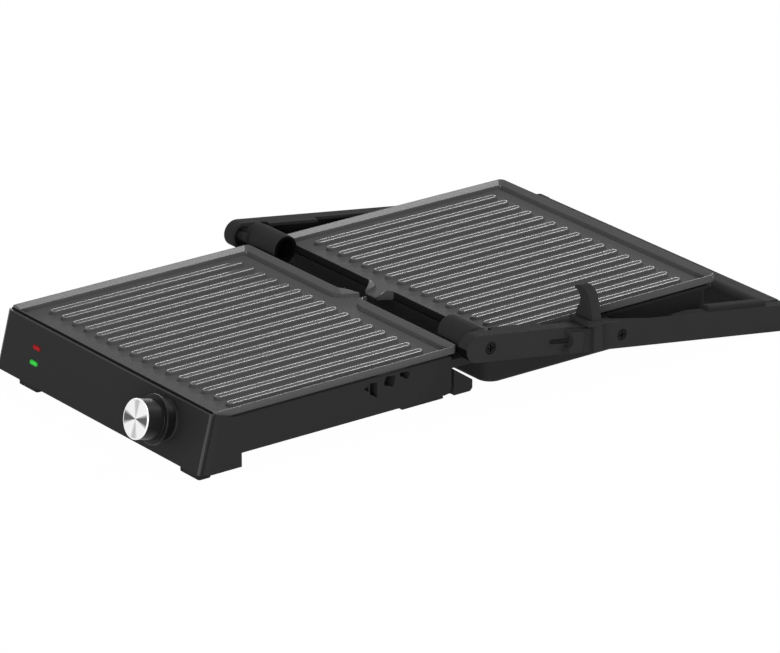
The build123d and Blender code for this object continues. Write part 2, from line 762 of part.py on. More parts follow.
# Arms: channel mouldings open inwards, with hub, stud, lock slot (right only) and screw recesses
for side, sign in (("left", -1), ("right", 1)):
    with BuildPart() as arm:
        with BuildSketch(arm_plane(arm_in)) as arm_outline:
            with BuildLine():
                Polyline(
                    (-arm_nose_ahead, arm_half), (-arm_nose_ahead, -arm_half),
                    (arm_len, -arm_half), (arm_len, arm_half),
                    close=True,
                )
            make_face()
            far_corners = arm_outline.vertices().group_by(Axis.X)[-1].sort_by(Axis.Y)
            fillet(far_corners[0], arm_heel_r)
            fillet(far_corners[-1], arm_toe_r)
            with Locations((-arm_nose_ahead, 0)):
                Circle(arm_half)
        extrude(amount=arm_w)
        # Wider stretch beside the hinge
        with BuildSketch(arm_plane(arm_wide_inner)):
            with Locations(((arm_half + arm_wide_to) / 2 - 1, 0)):
                Rectangle(arm_wide_to - arm_half + 2, 2 * arm_half)
        extrude(amount=arm_in - arm_wide_inner)
        with BuildSketch(arm_plane(arm_wide_inner)):
            Circle(arm_half)
        extrude(amount=arm_in - arm_wide_inner)
        # The channel, open to the inside
        with BuildSketch(arm_plane(arm_wide_inner - 1)):
            channel_from = arm_half + 1.0
            channel_to = arm_len - arm_wall
            with Locations(((channel_from + channel_to) / 2, 0)):
                RectangleRounded(channel_to - channel_from, 2 * (arm_half - arm_wall), 2.0)
        extrude(amount=web_in - arm_wide_inner + 1, mode=Mode.SUBTRACT)
        # The top flange is cut away beside the far half of the lid, in a long taper
        with BuildSketch(Plane((0, 0, hinge_z))):
            Polygon(
                (arm_in - 1, hinge_y + flange_cut_from),
                (web_in, hinge_y + flange_cut_full),
                (web_in, hinge_y + flange_cut_to),
                (arm_in - 1, hinge_y + flange_cut_to),
                align=None,
            )
        extrude(amount=-pivot_at * sin_arm, mode=Mode.SUBTRACT)
        # The nose is hollow round the stud, which stops against the barrel's end
        with BuildSketch(arm_plane(arm_in - 1)):
            with Locations((-arm_nose_ahead, 0)):
                Circle(arm_half - arm_wall)
                Circle(stud_r, mode=Mode.SUBTRACT)
            Circle(spindle_r + arm_wall, mode=Mode.SUBTRACT)
        extrude(amount=web_in - arm_in + 1, mode=Mode.SUBTRACT)
        with BuildSketch(arm_plane(stud_in)):
            with Locations((-arm_nose_ahead, 0)):
                Circle(stud_r)
        extrude(amount=web_in - stud_in)
        # Spindle bore with its screw recess, and the pivot pin's hole
        with BuildSketch(arm_plane(arm_wide_inner - 1)):
            Circle(spindle_r)
        extrude(amount=spindle_end - arm_wide_inner + 1, mode=Mode.SUBTRACT)
        with BuildSketch(arm_plane(spindle_end - 1)):
            Circle(screw_r + screw_gap)
            with Locations((pivot_at, 0)):
                Circle(pivot_bolt_r + running_gap)
        extrude(amount=arm_outer - spindle_end + 2, mode=Mode.SUBTRACT)
        with BuildSketch(arm_plane(web_in)):
            Circle(recess_r)
        extrude(amount=arm_wall + 1, mode=Mode.SUBTRACT)
        with BuildSketch(arm_plane(arm_outer - recess_depth)):
            with Locations((pivot_at, 0)):
                Circle(recess_r - 0.4)
        extrude(amount=2, mode=Mode.SUBTRACT)
        if sign > 0:
            slot_to = lock_at + slot_w / 2 + lock_gap
            with BuildSketch(arm_plane(web_in - 1)):
                with Locations(((slot_from + slot_to) / 2, 0)):
                    SlotOverall(slot_to - slot_from, slot_w)
            extrude(amount=arm_wall + 2, mode=Mode.SUBTRACT)
        if sign < 0:
            mirror(about=Plane.YZ, mode=Mode.REPLACE)
    arm.part.label = "arm_" + side
    export_step(arm.part, "parts/arm_" + side + ".step")

# Handle grip between the far ends of the arms, with a tenon in each channel
grip_out = hinge_y + arm_len * cos_arm - 0.5
grip_in = grip_out - grip_depth
with BuildPart() as handle_grip:
    with BuildSketch(Plane.YZ.offset(-arm_in)) as grip_outline:
        with BuildLine():
            Polyline(
                (grip_in, grip_foot_gap), (grip_out, grip_foot_gap),
                (grip_out, grip_top - grip_slope), (grip_in, grip_top),
                close=True,
            )
        make_face()
        fillet(grip_outline.vertices().sort_by_distance((grip_in, grip_top))[0], 8.0)
        fillet(grip_outline.vertices().sort_by_distance((grip_in, grip_foot_gap))[0], 1.5)
        fillet(grip_outline.vertices().sort_by_distance((grip_out, grip_foot_gap))[0], 7.0)
        fillet(grip_outline.vertices().sort_by_distance((grip_out, grip_top))[0], 2.0)
    extrude(amount=2 * arm_in)
    tenon_len = grip_depth - 6
    for sign in (-1, 1):
        with BuildSketch(arm_plane(sign * arm_in)):
            with Locations((arm_len - arm_wall - 0.3 - tenon_len / 2, 0)):
                RectangleRounded(tenon_len, 2 * (arm_half - arm_wall) - 0.4, 2.0)
        extrude(amount=sign * (web_in - arm_in - 0.3))
handle_grip.part.label = "handle_grip"
export_step(handle_grip.part, "parts/handle_grip.step")

# Screws: one through each arm into its spindle
with BuildPart() as hinge_screws:
    for sign in (-1, 1):
        with BuildSketch(hinge_plane(sign * web_in, sign)):
            Circle(recess_r - 0.5)
        extrude(amount=arm_wall - 0.5)
        with BuildSketch(hinge_plane(sign * web_in, sign)):
            Circle(screw_r)
        extrude(amount=-hinge_screw_len)
hinge_screws.part.label = "hinge_screws"
export_step(hinge_screws.part, "parts/hinge_screws.step")

# Pivot pins that the lid floats on, each a shouldered screw through its arm
with BuildPart() as lid_pivot_pins:
    for sign in (-1, 1):
        pin_origin = (sign * arm_wide_inner, pivot_y, pivot_z)
        pin_plane = Plane(origin=pin_origin, x_dir=(0, 1, 0), z_dir=(sign, 0, 0))
        with BuildSketch(pin_plane):
            Circle(pivot_pin_r)
        extrude(amount=web_in - arm_wide_inner)
        with BuildSketch(pin_plane.offset(web_in - arm_wide_inner)):
            Circle(pivot_bolt_r)
        extrude(amount=arm_wall - recess_depth)
        with BuildSketch(pin_plane.offset(arm_outer - recess_depth - arm_wide_inner)):
            Circle(recess_r - 0.9)
        extrude(amount=recess_depth - 0.4)
lid_pivot_pins.part.label = "lid_pivot_pins"
export_step(lid_pivot_pins.part, "parts/lid_pivot_pins.step")

# Lid shell: a shallow tub under the upper plate, with a thin flange and a boss on each pivot
shell_from = lid_near + lid_shell_near
shell_to = lid_far - lid_shell_far
shell_mid = (shell_from + shell_to) / 2
shell_d = shell_to - shell_from
inside_w = 2 * (lid_shell_half - wall_t)
inside_d = shell_d - 2 * wall_t
flange_w = 2 * (lid_shell_half + lid_flange)
flange_d = plate_d - lid_flange
flange_t = 1.2
seat_w = plate_w - 2 * pan_inset + 2 * tray_gap
seat_d = plate_d - 2 * pan_inset + 2 * tray_gap
with BuildPart() as lid_shell:
    with BuildSketch(Plane((0, shell_mid, lid_shell_bottom))):
        RectangleRounded(2 * lid_shell_half, shell_d, lid_corner)
    extrude(amount=pan_z - lid_shell_bottom)
    fillet(lid_shell.faces().sort_by(Axis.Z)[0].edges(), 4.0)
    with BuildSketch(Plane((0, shell_mid, lid_shell_bottom + wall_t))):
        RectangleRounded(inside_w, inside_d, lid_corner - wall_t)
    extrude(amount=pan_z, mode=Mode.SUBTRACT)
    # Seat flange round the plate's pan
    with BuildSketch(Plane((0, lid_mid, pan_z - flange_t))):
        RectangleRounded(flange_w, flange_d, plate_corner)
        RectangleRounded(inside_w, inside_d, lid_corner - wall_t, mode=Mode.SUBTRACT)
    extrude(amount=flange_t)
    with BuildSketch(Plane((0, lid_mid, pan_z))):
        RectangleRounded(flange_w, flange_d, plate_corner)
        RectangleRounded(seat_w, seat_d, plate_corner, mode=Mode.SUBTRACT)
    extrude(amount=lid_flange_rise)
    # Posts under the plate's bosses, each with a screw recess from outside
    with BuildSketch(Plane((0, lid_mid, lid_shell_bottom + wall_t - 0.2))):
        with GridLocations(2 * plate_boss_x, plate_d - 2 * plate_boss_inset_y, 2, 2):
            Circle(plate_boss_r)
    extrude(amount=boss_z - lid_shell_bottom - wall_t + 0.2)
    with BuildSketch(Plane((0, lid_mid, lid_shell_bottom - 1))):
        with GridLocations(2 * plate_boss_x, plate_d - 2 * plate_boss_inset_y, 2, 2):
            Circle(screw_r + screw_gap)
    extrude(amount=boss_z, mode=Mode.SUBTRACT)
    with BuildSketch(Plane((0, lid_mid, lid_shell_bottom - 1))):
        with GridLocations(2 * plate_boss_x, plate_d - 2 * plate_boss_inset_y, 2, 2):
            Circle(screw_head_r + screw_gap)
    extrude(amount=boss_z - lid_screw_sink - lid_shell_bottom + 1, mode=Mode.SUBTRACT)
    for sign in (-1, 1):
        boss_origin = (sign * (lid_shell_half - wall_t), pivot_y, pivot_z)
        boss_plane = Plane(origin=boss_origin, x_dir=(0, 1, 0), z_dir=(sign, 0, 0))
        boss_len = web_in - 0.7 - lid_shell_half + wall_t
        with BuildSketch(boss_plane):
            Circle(pivot_boss_r)
        extrude(amount=boss_len)
        with BuildSketch(boss_plane.offset(arm_wide_inner - 0.5 - lid_shell_half + wall_t)):
            Circle(pivot_pin_r + running_gap)
        extrude(amount=boss_len, mode=Mode.SUBTRACT)
lid_shell.part.label = "lid_shell"
export_step(lid_shell.part, "parts/lid_shell.step")

# Plate screws, under the tabs of the base and in the posts of the lid
with BuildPart() as lower_plate_screws:
    tab_low_z = boss_z - ledge_t
    head = (tab_low_z - screw_head_t, screw_head_t, screw_head_r)
    thread = (tab_low_z, tab_screw_len, screw_r)
    for head_z, height, radius in (head, thread):
        with BuildSketch(Plane((0, base_mid, head_z))):
            with GridLocations(2 * plate_boss_x, plate_d - 2 * plate_boss_inset_y, 2, 2):
                Circle(radius)
        extrude(amount=height)
lower_plate_screws.part.label = "lower_plate_screws"
export_step(lower_plate_screws.part, "parts/lower_plate_screws.step")

with BuildPart() as upper_plate_screws:
    seat_z = boss_z - lid_screw_sink
    head = (seat_z - screw_head_t, screw_head_t, screw_head_r)
    thread = (seat_z, lid_screw_len, screw_r)
    for head_z, height, radius in (head, thread):
        with BuildSketch(Plane((0, lid_mid, head_z))):
            with GridLocations(2 * plate_boss_x, plate_d - 2 * plate_boss_inset_y, 2, 2):
                Circle(radius)
        extrude(amount=height)
upper_plate_screws.part.label = "upper_plate_screws"
export_step(upper_plate_screws.part, "parts/upper_plate_screws.step")

# Heating elements: one bent tube under each plate, both ends beside the hinge line
element_z = pan_z - element_r
for name, near_y, way in (("lower", base_back, -1), ("upper", lid_near, 1)):
    outer_x = plate_w / 2 - element_inset_x
    loop_x = element_loop_w
    end_x = element_end_x
    end_z = element_z - element_end_drop
    first = near_y + way * element_inset_y
    last = near_y + way * (plate_d - element_inset_y)
    turn = near_y + way * element_turn_y
    with BuildPart() as element:
        with BuildLine() as element_path:
            FilletPolyline(
                (-end_x, first, end_z),
                (-end_x, first, element_z),
                (-outer_x, first, element_z),
                (-outer_x, last, element_z),
                (-loop_x, last, element_z),
                (-loop_x, turn, element_z),
                (loop_x, turn, element_z),
                (loop_x, last, element_z),
                (outer_x, last, element_z),
                (outer_x, first, element_z),
                (end_x, first, element_z),
                (end_x, first, end_z),
                radius=[element_end_bend] + [element_bend] * 8 + [element_end_bend],
            )
        with BuildSketch(Plane((-end_x, first, end_z))):
            Circle(element_r)
        sweep(path=element_path.wires()[0])
    element.part.label = name + "_heating_element"
    export_step(element.part, "parts/" + name + "_heating_element.step")

# Heat shields: shallow trays under the elements
for name, mid_y in (("lower", base_mid), ("upper", lid_mid)):
    shield_z = pan_z - 2 * element_r - shield_t
    near_end = mid_y + (plate_d / 2 - element_inset_y) * (1 if name == "lower" else -1)
    with BuildPart() as shield:
        with BuildSketch(Plane((0, mid_y, shield_z))):
            RectangleRounded(shield_w, shield_d, shield_corner)
        extrude(amount=shield_t + shield_h - 2)
        with BuildSketch(Plane((0, mid_y, shield_z + shield_t))):
            RectangleRounded(shield_w - 2 * shield_t, shield_d - 2 * shield_t, shield_corner - shield_t)
        extrude(amount=shield_h, mode=Mode.SUBTRACT)
        with BuildSketch(Plane((0, near_end, shield_z - 1))):
            with GridLocations(2 * element_end_x, 0, 2, 1):
                Circle(element_r + 1.5)
        extrude(amount=shield_t + 2, mode=Mode.SUBTRACT)
    shield.part.label = name + "_heat_shield"
    export_step(shield.part, "parts/" + name + "_heat_shield.step")

# Thermostat on the back of the front wall, its bore open for the knob's shaft
thermostat_back = panel_t + wall_t + thermostat_neck
with BuildPart() as thermostat:
    with BuildSketch(face_plane(knob_x, knob_z, -panel_t - wall_t)):
        Circle(thermostat_r)
        Circle(shaft_r + running_gap, mode=Mode.SUBTRACT)
    extrude(amount=-thermostat_neck)
    with BuildSketch(face_plane(knob_x, knob_z, -thermostat_back)):
        Rectangle(thermostat_w, thermostat_h)
    extrude(amount=-thermostat_d)
    with BuildSketch(face_plane(knob_x, knob_z, -thermostat_back - thermostat_d)):
        with GridLocations(thermostat_w - 10, 0, 2, 1):
            Rectangle(1, 6)
    extrude(amount=-blade_len)
thermostat.part.label = "thermostat"
export_step(thermostat.part, "parts/thermostat.step")

# Knob: bezel on the panel, turning body with a finger skirt, metal cap and shaft
with BuildPart() as knob_bezel:
    with BuildSketch(face_plane(knob_x, knob_z)):
        Circle(bezel_r)
        Circle(shaft_r + shaft_gap, mode=Mode.SUBTRACT)
    extrude(amount=bezel_t)
    chamfer(knob_bezel.faces().sort_by(Axis.Y)[0].edges().group_by(SortBy.LENGTH)[-1], 1.0)
knob_bezel.part.label = "knob_bezel"
export_step(knob_bezel.part, "parts/knob_bezel.step")

knob_axis_plane = face_plane(knob_x, knob_z)
skirt_to = knob_skirt_from + knob_skirt_t
with BuildPart() as knob:
    knob_section = Plane(origin=knob_axis_plane.origin, x_dir=(1, 0, 0), z_dir=knob_axis_plane.y_dir * -1)
    with BuildSketch(knob_section):
        with BuildLine():
            Polyline(
                (shaft_r, bezel_t + knob_gap),
                (knob_neck_r, bezel_t + knob_gap),
                (knob_neck_r, knob_skirt_from - 1.5),
                (knob_skirt_r - 0.5, knob_skirt_from - 0.5),
                (knob_skirt_r, knob_skirt_from),
                (knob_skirt_r, skirt_to - 0.6),
                (knob_skirt_r - 0.6, skirt_to),
                (knob_body_r + 0.4, skirt_to),
                (knob_body_r, skirt_to + 0.8),
                (knob_body_r, knob_proud - knob_cap_t),
                (shaft_r, knob_proud - knob_cap_t),
                close=True,
            )
        make_face()
    revolve(axis=Axis(knob_axis_plane.origin, knob_axis_plane.z_dir))
knob.part.label = "knob"
export_step(knob.part, "parts/knob.step")

with BuildPart() as knob_cap:
    with BuildSketch(face_plane(knob_x, knob_z, knob_proud - knob_cap_t)):
        Circle(knob_cap_r)
    extrude(amount=knob_cap_t)
    chamfer(knob_cap.faces().sort_by(Axis.Y)[0].edges(), 0.6)
knob_cap.part.label = "knob_cap"
export_step(knob_cap.part, "parts/knob_cap.step")

shaft_back = panel_t + wall_t + shaft_behind
with BuildPart() as knob_shaft:
    with BuildSketch(face_plane(knob_x, knob_z, -shaft_back)):
        Circle(shaft_r)
    extrude(amount=shaft_back + knob_proud - knob_cap_t)
knob_shaft.part.label = "knob_shaft"
export_step(knob_shaft.part, "parts/knob_shaft.step")

# Height lock: a slider on the right arm's outer face, its foot over the arm and its hooked blade
blade_y = base_back + lock_blade_from
lock_face = arm_outer + lock_gap
with BuildPart() as lock_hook:
    lock_mid = (lock_plate_from + lock_plate_to) / 2
    with BuildSketch(arm_plane(lock_face)):
        with Locations((lock_mid, -0.6)):
            RectangleRounded(lock_plate_to - lock_plate_from, 2 * arm_half - 2.4, 1.5)
    extrude(amount=lock_plate_t)
    with BuildSketch(arm_plane(lock_face + lock_plate_t - 0.5)):
        with Locations((lock_plate_from + lock_boss_inset + lock_boss_w / 2, -0.6)):
            RectangleRounded(lock_boss_w, 2 * arm_half - 5, 1.5)
    extrude(amount=lock_outer - lock_face - lock_plate_t + 0.5)
    # Thumb hollow in the front of the boss, over the slot
    with BuildSketch(arm_plane(lock_face - 1)):
        with Locations((lock_plate_from - 0.5, 0.5)):
            Circle(lock_thumb_r)
    extrude(amount=lock_proud + 2, mode=Mode.SUBTRACT)
    with BuildSketch(arm_plane(lock_inner)):
        with Locations((lock_foot_from + lock_foot_w / 2, arm_half + lock_gap + lock_foot_h / 2)):
            Rectangle(lock_foot_w, lock_foot_h)
    extrude(amount=lock_outer - lock_inner)
    with BuildSketch(Plane(origin=(0, blade_y, crest_z), x_dir=(1, 0, 0), z_dir=(0, -1, 0))):
        throat_x = lock_inner + 6.0
        nose_low = lock_nose_rise - lock_nose_lip
        back_x = lock_inner + 18.0
        with BuildLine():
            Line((lock_inner, -1), (lock_inner, 1.5))
            Line((lock_inner, 1.5), (lock_inner + 3.0, 10))
            ThreePointArc((lock_inner + 3.0, 10), (throat_x, 18.5), (lock_nose_x + 0.6, nose_low))
            Line((lock_nose_x + 0.6, nose_low), (lock_nose_x, lock_nose_rise - 0.4))
            ThreePointArc(
                (lock_nose_x, lock_nose_rise - 0.4),
                (lock_inner + 10.5, lock_nose_rise + 0.6),
                (back_x, lock_nose_rise - 6.0),
            )
            Line((back_x, lock_nose_rise - 6.0), (lock_outer - 2.0, 2.5))
            Line((lock_outer - 2.0, 2.5), (lock_outer, -4.5))
            Line((lock_outer, -4.5), (lock_outer, -lock_back_drop))
            Line((lock_outer, -lock_back_drop), (lock_face, -lock_back_drop))
            Line((lock_face, -lock_back_drop), (lock_face, -1))
            Line((lock_face, -1), (lock_inner, -1))
        make_face()
    extrude(amount=-lock_blade_d)
lock_hook.part.label = "lock_hook"
export_step(lock_hook.part, "parts/lock_hook.step")

# Guide screw and washer that hold the lock in its slot, from inside the channel
guide_r = slot_w / 2 - lock_gap
with BuildPart() as lock_screw:
    with BuildSketch(arm_plane(web_in - washer_t)):
        with Locations((lock_at, 0)):
            Circle(guide_r)
    extrude(amount=lock_face - web_in + washer_t)
    with BuildSketch(arm_plane(web_in - washer_t)):
        with Locations((lock_at, 0)):
            Circle(screw_head_r)
    extrude(amount=-screw_head_t)
lock_screw.part.label = "lock_screw"
export_step(lock_screw.part, "parts/lock_screw.step")

with BuildPart() as lock_washer:
    with BuildSketch(arm_plane(web_in - 0.1)):
        with Locations((lock_at, 0)):
            Circle(washer_r)
            Circle(guide_r, mode=Mode.SUBTRACT)
    extrude(amount=0.1 - washer_t)
lock_washer.part.label = "lock_washer"
export_step(lock_washer.part, "parts/lock_washer.step")

# Drip tray: a trough behind the base, under the gap between the plates
tray_from = base_back - tray_front
tray_to = tray_from + tray_d
with BuildPart() as drip_tray:
    with BuildSketch(Plane.YZ.offset(-tray_half)):
        Polygon(
            (tray_from, crest_z - tray_top_drop), (tray_to, crest_z - tray_rear_drop),
            (tray_to, crest_z - tray_bottom_drop + tray_foot_bevel),
            (tray_to - tray_foot_bevel, crest_z - tray_bottom_drop),
            (tray_from, crest_z - tray_bottom_drop),
            align=None,
        )
    extrude(amount=2 * tray_half)
    with BuildSketch(Plane.YZ.offset(tray_wall - tray_half)):
        Polygon(
            (tray_from + tray_wall, crest_z), (tray_to - tray_wall, crest_z),
            (tray_to - tray_wall, crest_z - tray_bottom_drop + tray_foot_bevel + 0.7),
            (tray_to - tray_foot_bevel - 0.7, crest_z - tray_bottom_drop + tray_wall),
            (tray_from + tray_wall, crest_z - tray_bottom_drop + tray_wall),
            align=None,
        )
    extrude(amount=2 * (tray_half - tray_wall), mode=Mode.SUBTRACT)
    # Notch in the left end, which passes the keeper as the tray slides out
    with BuildSketch(Plane.YZ.offset(-tray_half - 1)):
        notch_w = keeper_t + 2 * tray_gap
        notch_h = keeper_h + 2 * tray_gap
        with Locations((tray_from + tray_wall + notch_w / 2, crest_z - tray_top_drop - notch_h / 2)):
            Rectangle(notch_w, notch_h + 2)
    extrude(amount=tray_wall + 2, mode=Mode.SUBTRACT)
drip_tray.part.label = "drip_tray"
export_step(drip_tray.part, "parts/drip_tray.step")

# Terminal block and thermal fuse in the base, cord gland in the left wall
with BuildPart() as terminal_block:
    terminals_y = rear_y - 60.0
    with BuildSketch(Plane((terminals_x, terminals_y, cover_z + cover_t))):
        Rectangle(terminals_w, terminals_len)
    extrude(amount=terminals_h)
    with BuildSketch(Plane((terminals_x, terminals_y, cover_z + cover_t + terminals_h))):
        with GridLocations(terminals_w / 2, terminals_len / 3, 2, 3):
            Circle(2.2)
    extrude(amount=1.5)
terminal_block.part.label = "terminal_block"
export_step(terminal_block.part, "parts/terminal_block.step")

with BuildPart() as thermal_fuse:
    with BuildSketch(Plane((fuse_x, base_mid, cover_z + cover_t))):
        Rectangle(fuse_len + 6, 2 * fuse_r + 2)
    extrude(amount=fuse_r - 1)
    fuse_origin = (fuse_x - fuse_len / 2, base_mid, cover_z + cover_t + 2 * fuse_r - 1)
    with BuildSketch(Plane(origin=fuse_origin, x_dir=(0, 1, 0), z_dir=(1, 0, 0))):
        Circle(fuse_r)
    extrude(amount=fuse_len)
thermal_fuse.part.label = "thermal_fuse"
export_step(thermal_fuse.part, "parts/thermal_fuse.step")

gland_plane = Plane(origin=(-housing_half, gland_y, gland_z), x_dir=(0, -1, 0), z_dir=(-1, 0, 0))
with BuildPart() as cord_gland:
    with BuildSketch(gland_plane.offset(-wall_t - 2)):
        Circle(gland_collar_r)
    extrude(amount=2)
    with BuildSketch(gland_plane.offset(-wall_t)):
        Circle(gland_r)
    extrude(amount=wall_t)
    with BuildSketch(gland_plane):
        Circle(gland_collar_r)
    with BuildSketch(gland_plane.offset(gland_len)):
        Circle(gland_r - 0.8)
    loft()
    with BuildSketch(gland_plane.offset(-wall_t - 3)):
        Circle(gland_bore_r)
    extrude(amount=gland_len + wall_t + 4, mode=Mode.SUBTRACT)
cord_gland.part.label = "cord_gland"
export_step(cord_gland.part, "parts/cord_gland.step")
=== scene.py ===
import json
import math

import bmesh
import bpy
from mathutils import Matrix, Vector


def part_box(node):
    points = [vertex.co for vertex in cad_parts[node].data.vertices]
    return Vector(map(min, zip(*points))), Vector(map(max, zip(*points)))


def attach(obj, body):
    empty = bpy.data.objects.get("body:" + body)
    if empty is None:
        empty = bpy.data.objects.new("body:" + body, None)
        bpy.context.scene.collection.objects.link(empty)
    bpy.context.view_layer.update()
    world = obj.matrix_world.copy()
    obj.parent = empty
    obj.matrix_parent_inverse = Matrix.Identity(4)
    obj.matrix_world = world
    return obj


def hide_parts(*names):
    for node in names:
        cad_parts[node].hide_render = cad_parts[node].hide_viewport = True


bl_info = {
    "name": "Contact grill",
    "version": (1, 0, 0),
    "blender": (4, 5, 0),
    "location": "3D View > Sidebar > Grill",
    "description": "Dresses the packed contact grill: cast plates, front, knob, arms, lid and studio",
    "category": "Object",
}

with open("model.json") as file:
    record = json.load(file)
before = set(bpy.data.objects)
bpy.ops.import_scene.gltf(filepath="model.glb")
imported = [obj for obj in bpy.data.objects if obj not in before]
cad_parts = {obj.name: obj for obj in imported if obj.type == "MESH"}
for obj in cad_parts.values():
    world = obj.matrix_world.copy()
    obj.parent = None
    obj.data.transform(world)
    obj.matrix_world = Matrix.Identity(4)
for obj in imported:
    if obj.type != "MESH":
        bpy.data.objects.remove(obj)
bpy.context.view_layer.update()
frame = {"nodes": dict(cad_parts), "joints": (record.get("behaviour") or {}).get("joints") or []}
JOINTS = {joint["name"]: joint for joint in frame["joints"]}
HINGE = Vector(JOINTS["arm_hinge"]["pos_m"])
KNOB_AXIS = Vector(JOINTS["knob_turn"]["axis"])
KNOB_BASE = Vector(JOINTS["knob_turn"]["pos_m"])
PLATE_LOW, PLATE_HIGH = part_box("upper_plate")
CREST = PLATE_HIGH.z
MERGE_DISTANCE = 0.000001


def length(name, description, default):
    """A size property in metres."""
    return bpy.props.FloatProperty(
        name=name, description=description, default=default, unit="LENGTH", precision=5
    )


def colour(name, description, default):
    """A colour property."""
    return bpy.props.FloatVectorProperty(
        name=name, description=description, default=default, subtype="COLOR", size=3, min=0.0, max=1.0
    )


class GrillSizes(bpy.types.PropertyGroup):
    """Sizes of the dressed grill that a user would change."""

    plate_width: length("Plate width", "Width of each cast plate", PLATE_HIGH.x - PLATE_LOW.x)
    plate_depth: length("Plate depth", "Depth of each cast plate, without spout or tongue", 0.2387)
    plate_gap: length("Plate gap", "Gap between the two plates at the hinge line", 0.0314)
    plate_corner: length("Plate corner", "Corner radius of the plates", 0.0045)
    floor_corner: length("Floor corner", "Corner radius of the plates' floor", 0.0022)
    wall_height: length("Wall height", "Height of the plates' outer wall", 0.0063)
    rim_land: length("Rim land", "Width of the flat crest round each plate", 0.0006)
    rim_run: length("Rim slope width", "Width of the slope inside the crest", 0.0042)
    rim_drop: length("Rim slope drop", "Drop of the slope inside the crest", 0.0036)
    rim_step: length("Rim step width", "Width of the steep step at the slope's foot", 0.0006)
    floor_drop: length("Floor drop", "Depth of the plates' floor under the crest", 0.0070)
    pan_drop: length("Pan drop", "Depth of the plates' underside under the crest", 0.0100)
    pan_inset: length("Pan inset", "How far the pan lies inside the outer wall", 0.0040)
    lip_under: length("Lip underside", "Depth of spout and tongue under the crest", 0.0085)
    lip_level: length("Lip level run", "How far spout and tongue reach out before they fall", 0.0030)
    spout_root: length("Spout root", "Half width of the spout where it leaves the rim", 0.0155)
    spout_tip: length("Spout tip", "Half width of the spout's tip", 0.0056)
    spout_reach: length("Spout reach", "How far the spout reaches over the gap", 0.0124)
    spout_fall: length("Spout fall", "How far the spout's crest falls to its tip", 0.0038)
    spout_bank: length("Spout bank", "Width of the bank inside the spout's tip", 0.0006)
    tongue_root: length("Tongue root", "Half width of the tongue where it leaves the rim", 0.0134)
    tongue_tip: length("Tongue tip", "Half width of the tongue's tip", 0.0089)
    tongue_reach: length("Tongue reach", "How far the tongue reaches over the gap", 0.0098)
    tongue_fall: length("Tongue fall", "How far the tongue's crest falls to its tip", 0.0053)
    tongue_bank: length("Tongue bank", "Width of the bank inside the tongue's tip", 0.0013)
    rib_pitch: length("Rib pitch", "Distance from rib to rib", 0.01662)
    rib_height: length("Rib height", "Height of the ribs above the floor", 0.0030)
    rib_right: length("Ribs to the right", "How far the row of ribs lies right of the middle", 0.0012)
    rib_back: length("Ribs to the back", "How far the ribs lie back of their margins", 0.0010)
    rib_top: length("Rib top", "Width of a rib's flat top", 0.0058)
    rib_side: length("Rib side", "Width of a rib's sloping side", 0.0012)
    rib_facet: length("Rib facet", "Width of the shallow facet inside a rib's top edges", 0.0012)
    rib_crown: length("Rib crown", "Rise of the shallow facet", 0.000115)
    rib_edge: length("Rib edge", "Width of the chamfer on a rib's top edges", 0.00025)
    rib_sunk: length("Rib root", "How far a rib reaches into the floor", 0.0005)
    rib_near: length("Rib margin, hinge side", "From the rib ends to the hinge-side crest", 0.0216)
    rib_far: length("Rib margin, outer side", "From the rib ends to the outer crest", 0.0234)
    cast_edge: length("Cast edge", "Rounding of the plates' edges", 0.00028)
    rib_count: bpy.props.IntProperty(
        name="Ribs", description="Ribs on each plate", default=16, min=1, max=40
    )


class GrillColours(bpy.types.PropertyGroup):
    """Colours of the grill's finishes."""

    coating: colour("Coating", "Non-stick coating of the plates", (0.108, 0.108, 0.109))
    housing: colour("Housing", "Plastic of the housing and the lid", (0.026, 0.026, 0.0265))
    front: colour("Front", "Plastic of the front panel", (0.027, 0.027, 0.0275))
    arm: colour("Arm", "Plastic of the arms", (0.037, 0.037, 0.0375))
    grip: colour("Grip", "Plastic of the handle's grip", (0.043, 0.043, 0.0435))
    knob: colour("Knob", "Plastic of the knob", (0.009, 0.009, 0.009))
    rubber: colour("Rubber", "Rubber of the feet", (0.008, 0.008, 0.008))
    cap: colour("Cap", "Turned metal of the knob's cap", (0.94, 0.94, 0.94))
    steel: colour("Steel", "Plated steel of screws and spindles", (0.5, 0.5, 0.51))
    dark_steel: colour("Dark steel", "Blackened screws in the arms", (0.015, 0.015, 0.016))
    shield: colour("Shield", "Pressed aluminium of the heat shields", (0.62, 0.62, 0.63))
    board: colour("Board", "Lamp board", (0.03, 0.16, 0.06))
    pale: colour("Pale fittings", "Thermostat and terminal mouldings", (0.6, 0.58, 0.5))
    red: colour("Red lamp", "Lit lens of the power lamp", (0.30, 0.008, 0.012))
    green: colour("Green lamp", "Lit lens of the ready lamp", (0.03, 0.48, 0.05))


class Socket:
    """An output of a shader node, on which maths is written."""

    def __init__(self, shading, output):
        self.shading = shading
        self.output = output

    def __add__(self, other):
        return self.shading.maths("ADD", self, other)

    def __sub__(self, other):
        return self.shading.maths("SUBTRACT", self, other)

    def __mul__(self, other):
        return self.shading.maths("MULTIPLY", self, other)

    def __truediv__(self, other):
        return self.shading.maths("DIVIDE", self, other)

    def __pow__(self, other):
        return self.shading.maths("POWER", self, other)

    def __rsub__(self, other):
        return self.shading.maths("SUBTRACT", other, self)

    def __rtruediv__(self, other):
        return self.shading.maths("DIVIDE", other, self)

    def __abs__(self):
        return self.shading.maths("ABSOLUTE", self)

    __radd__ = __add__
    __rmul__ = __mul__

    def clamped(self):
        """The value, held between 0 and 1."""
        return self.shading.node("Clamp", sockets={"Value": self})


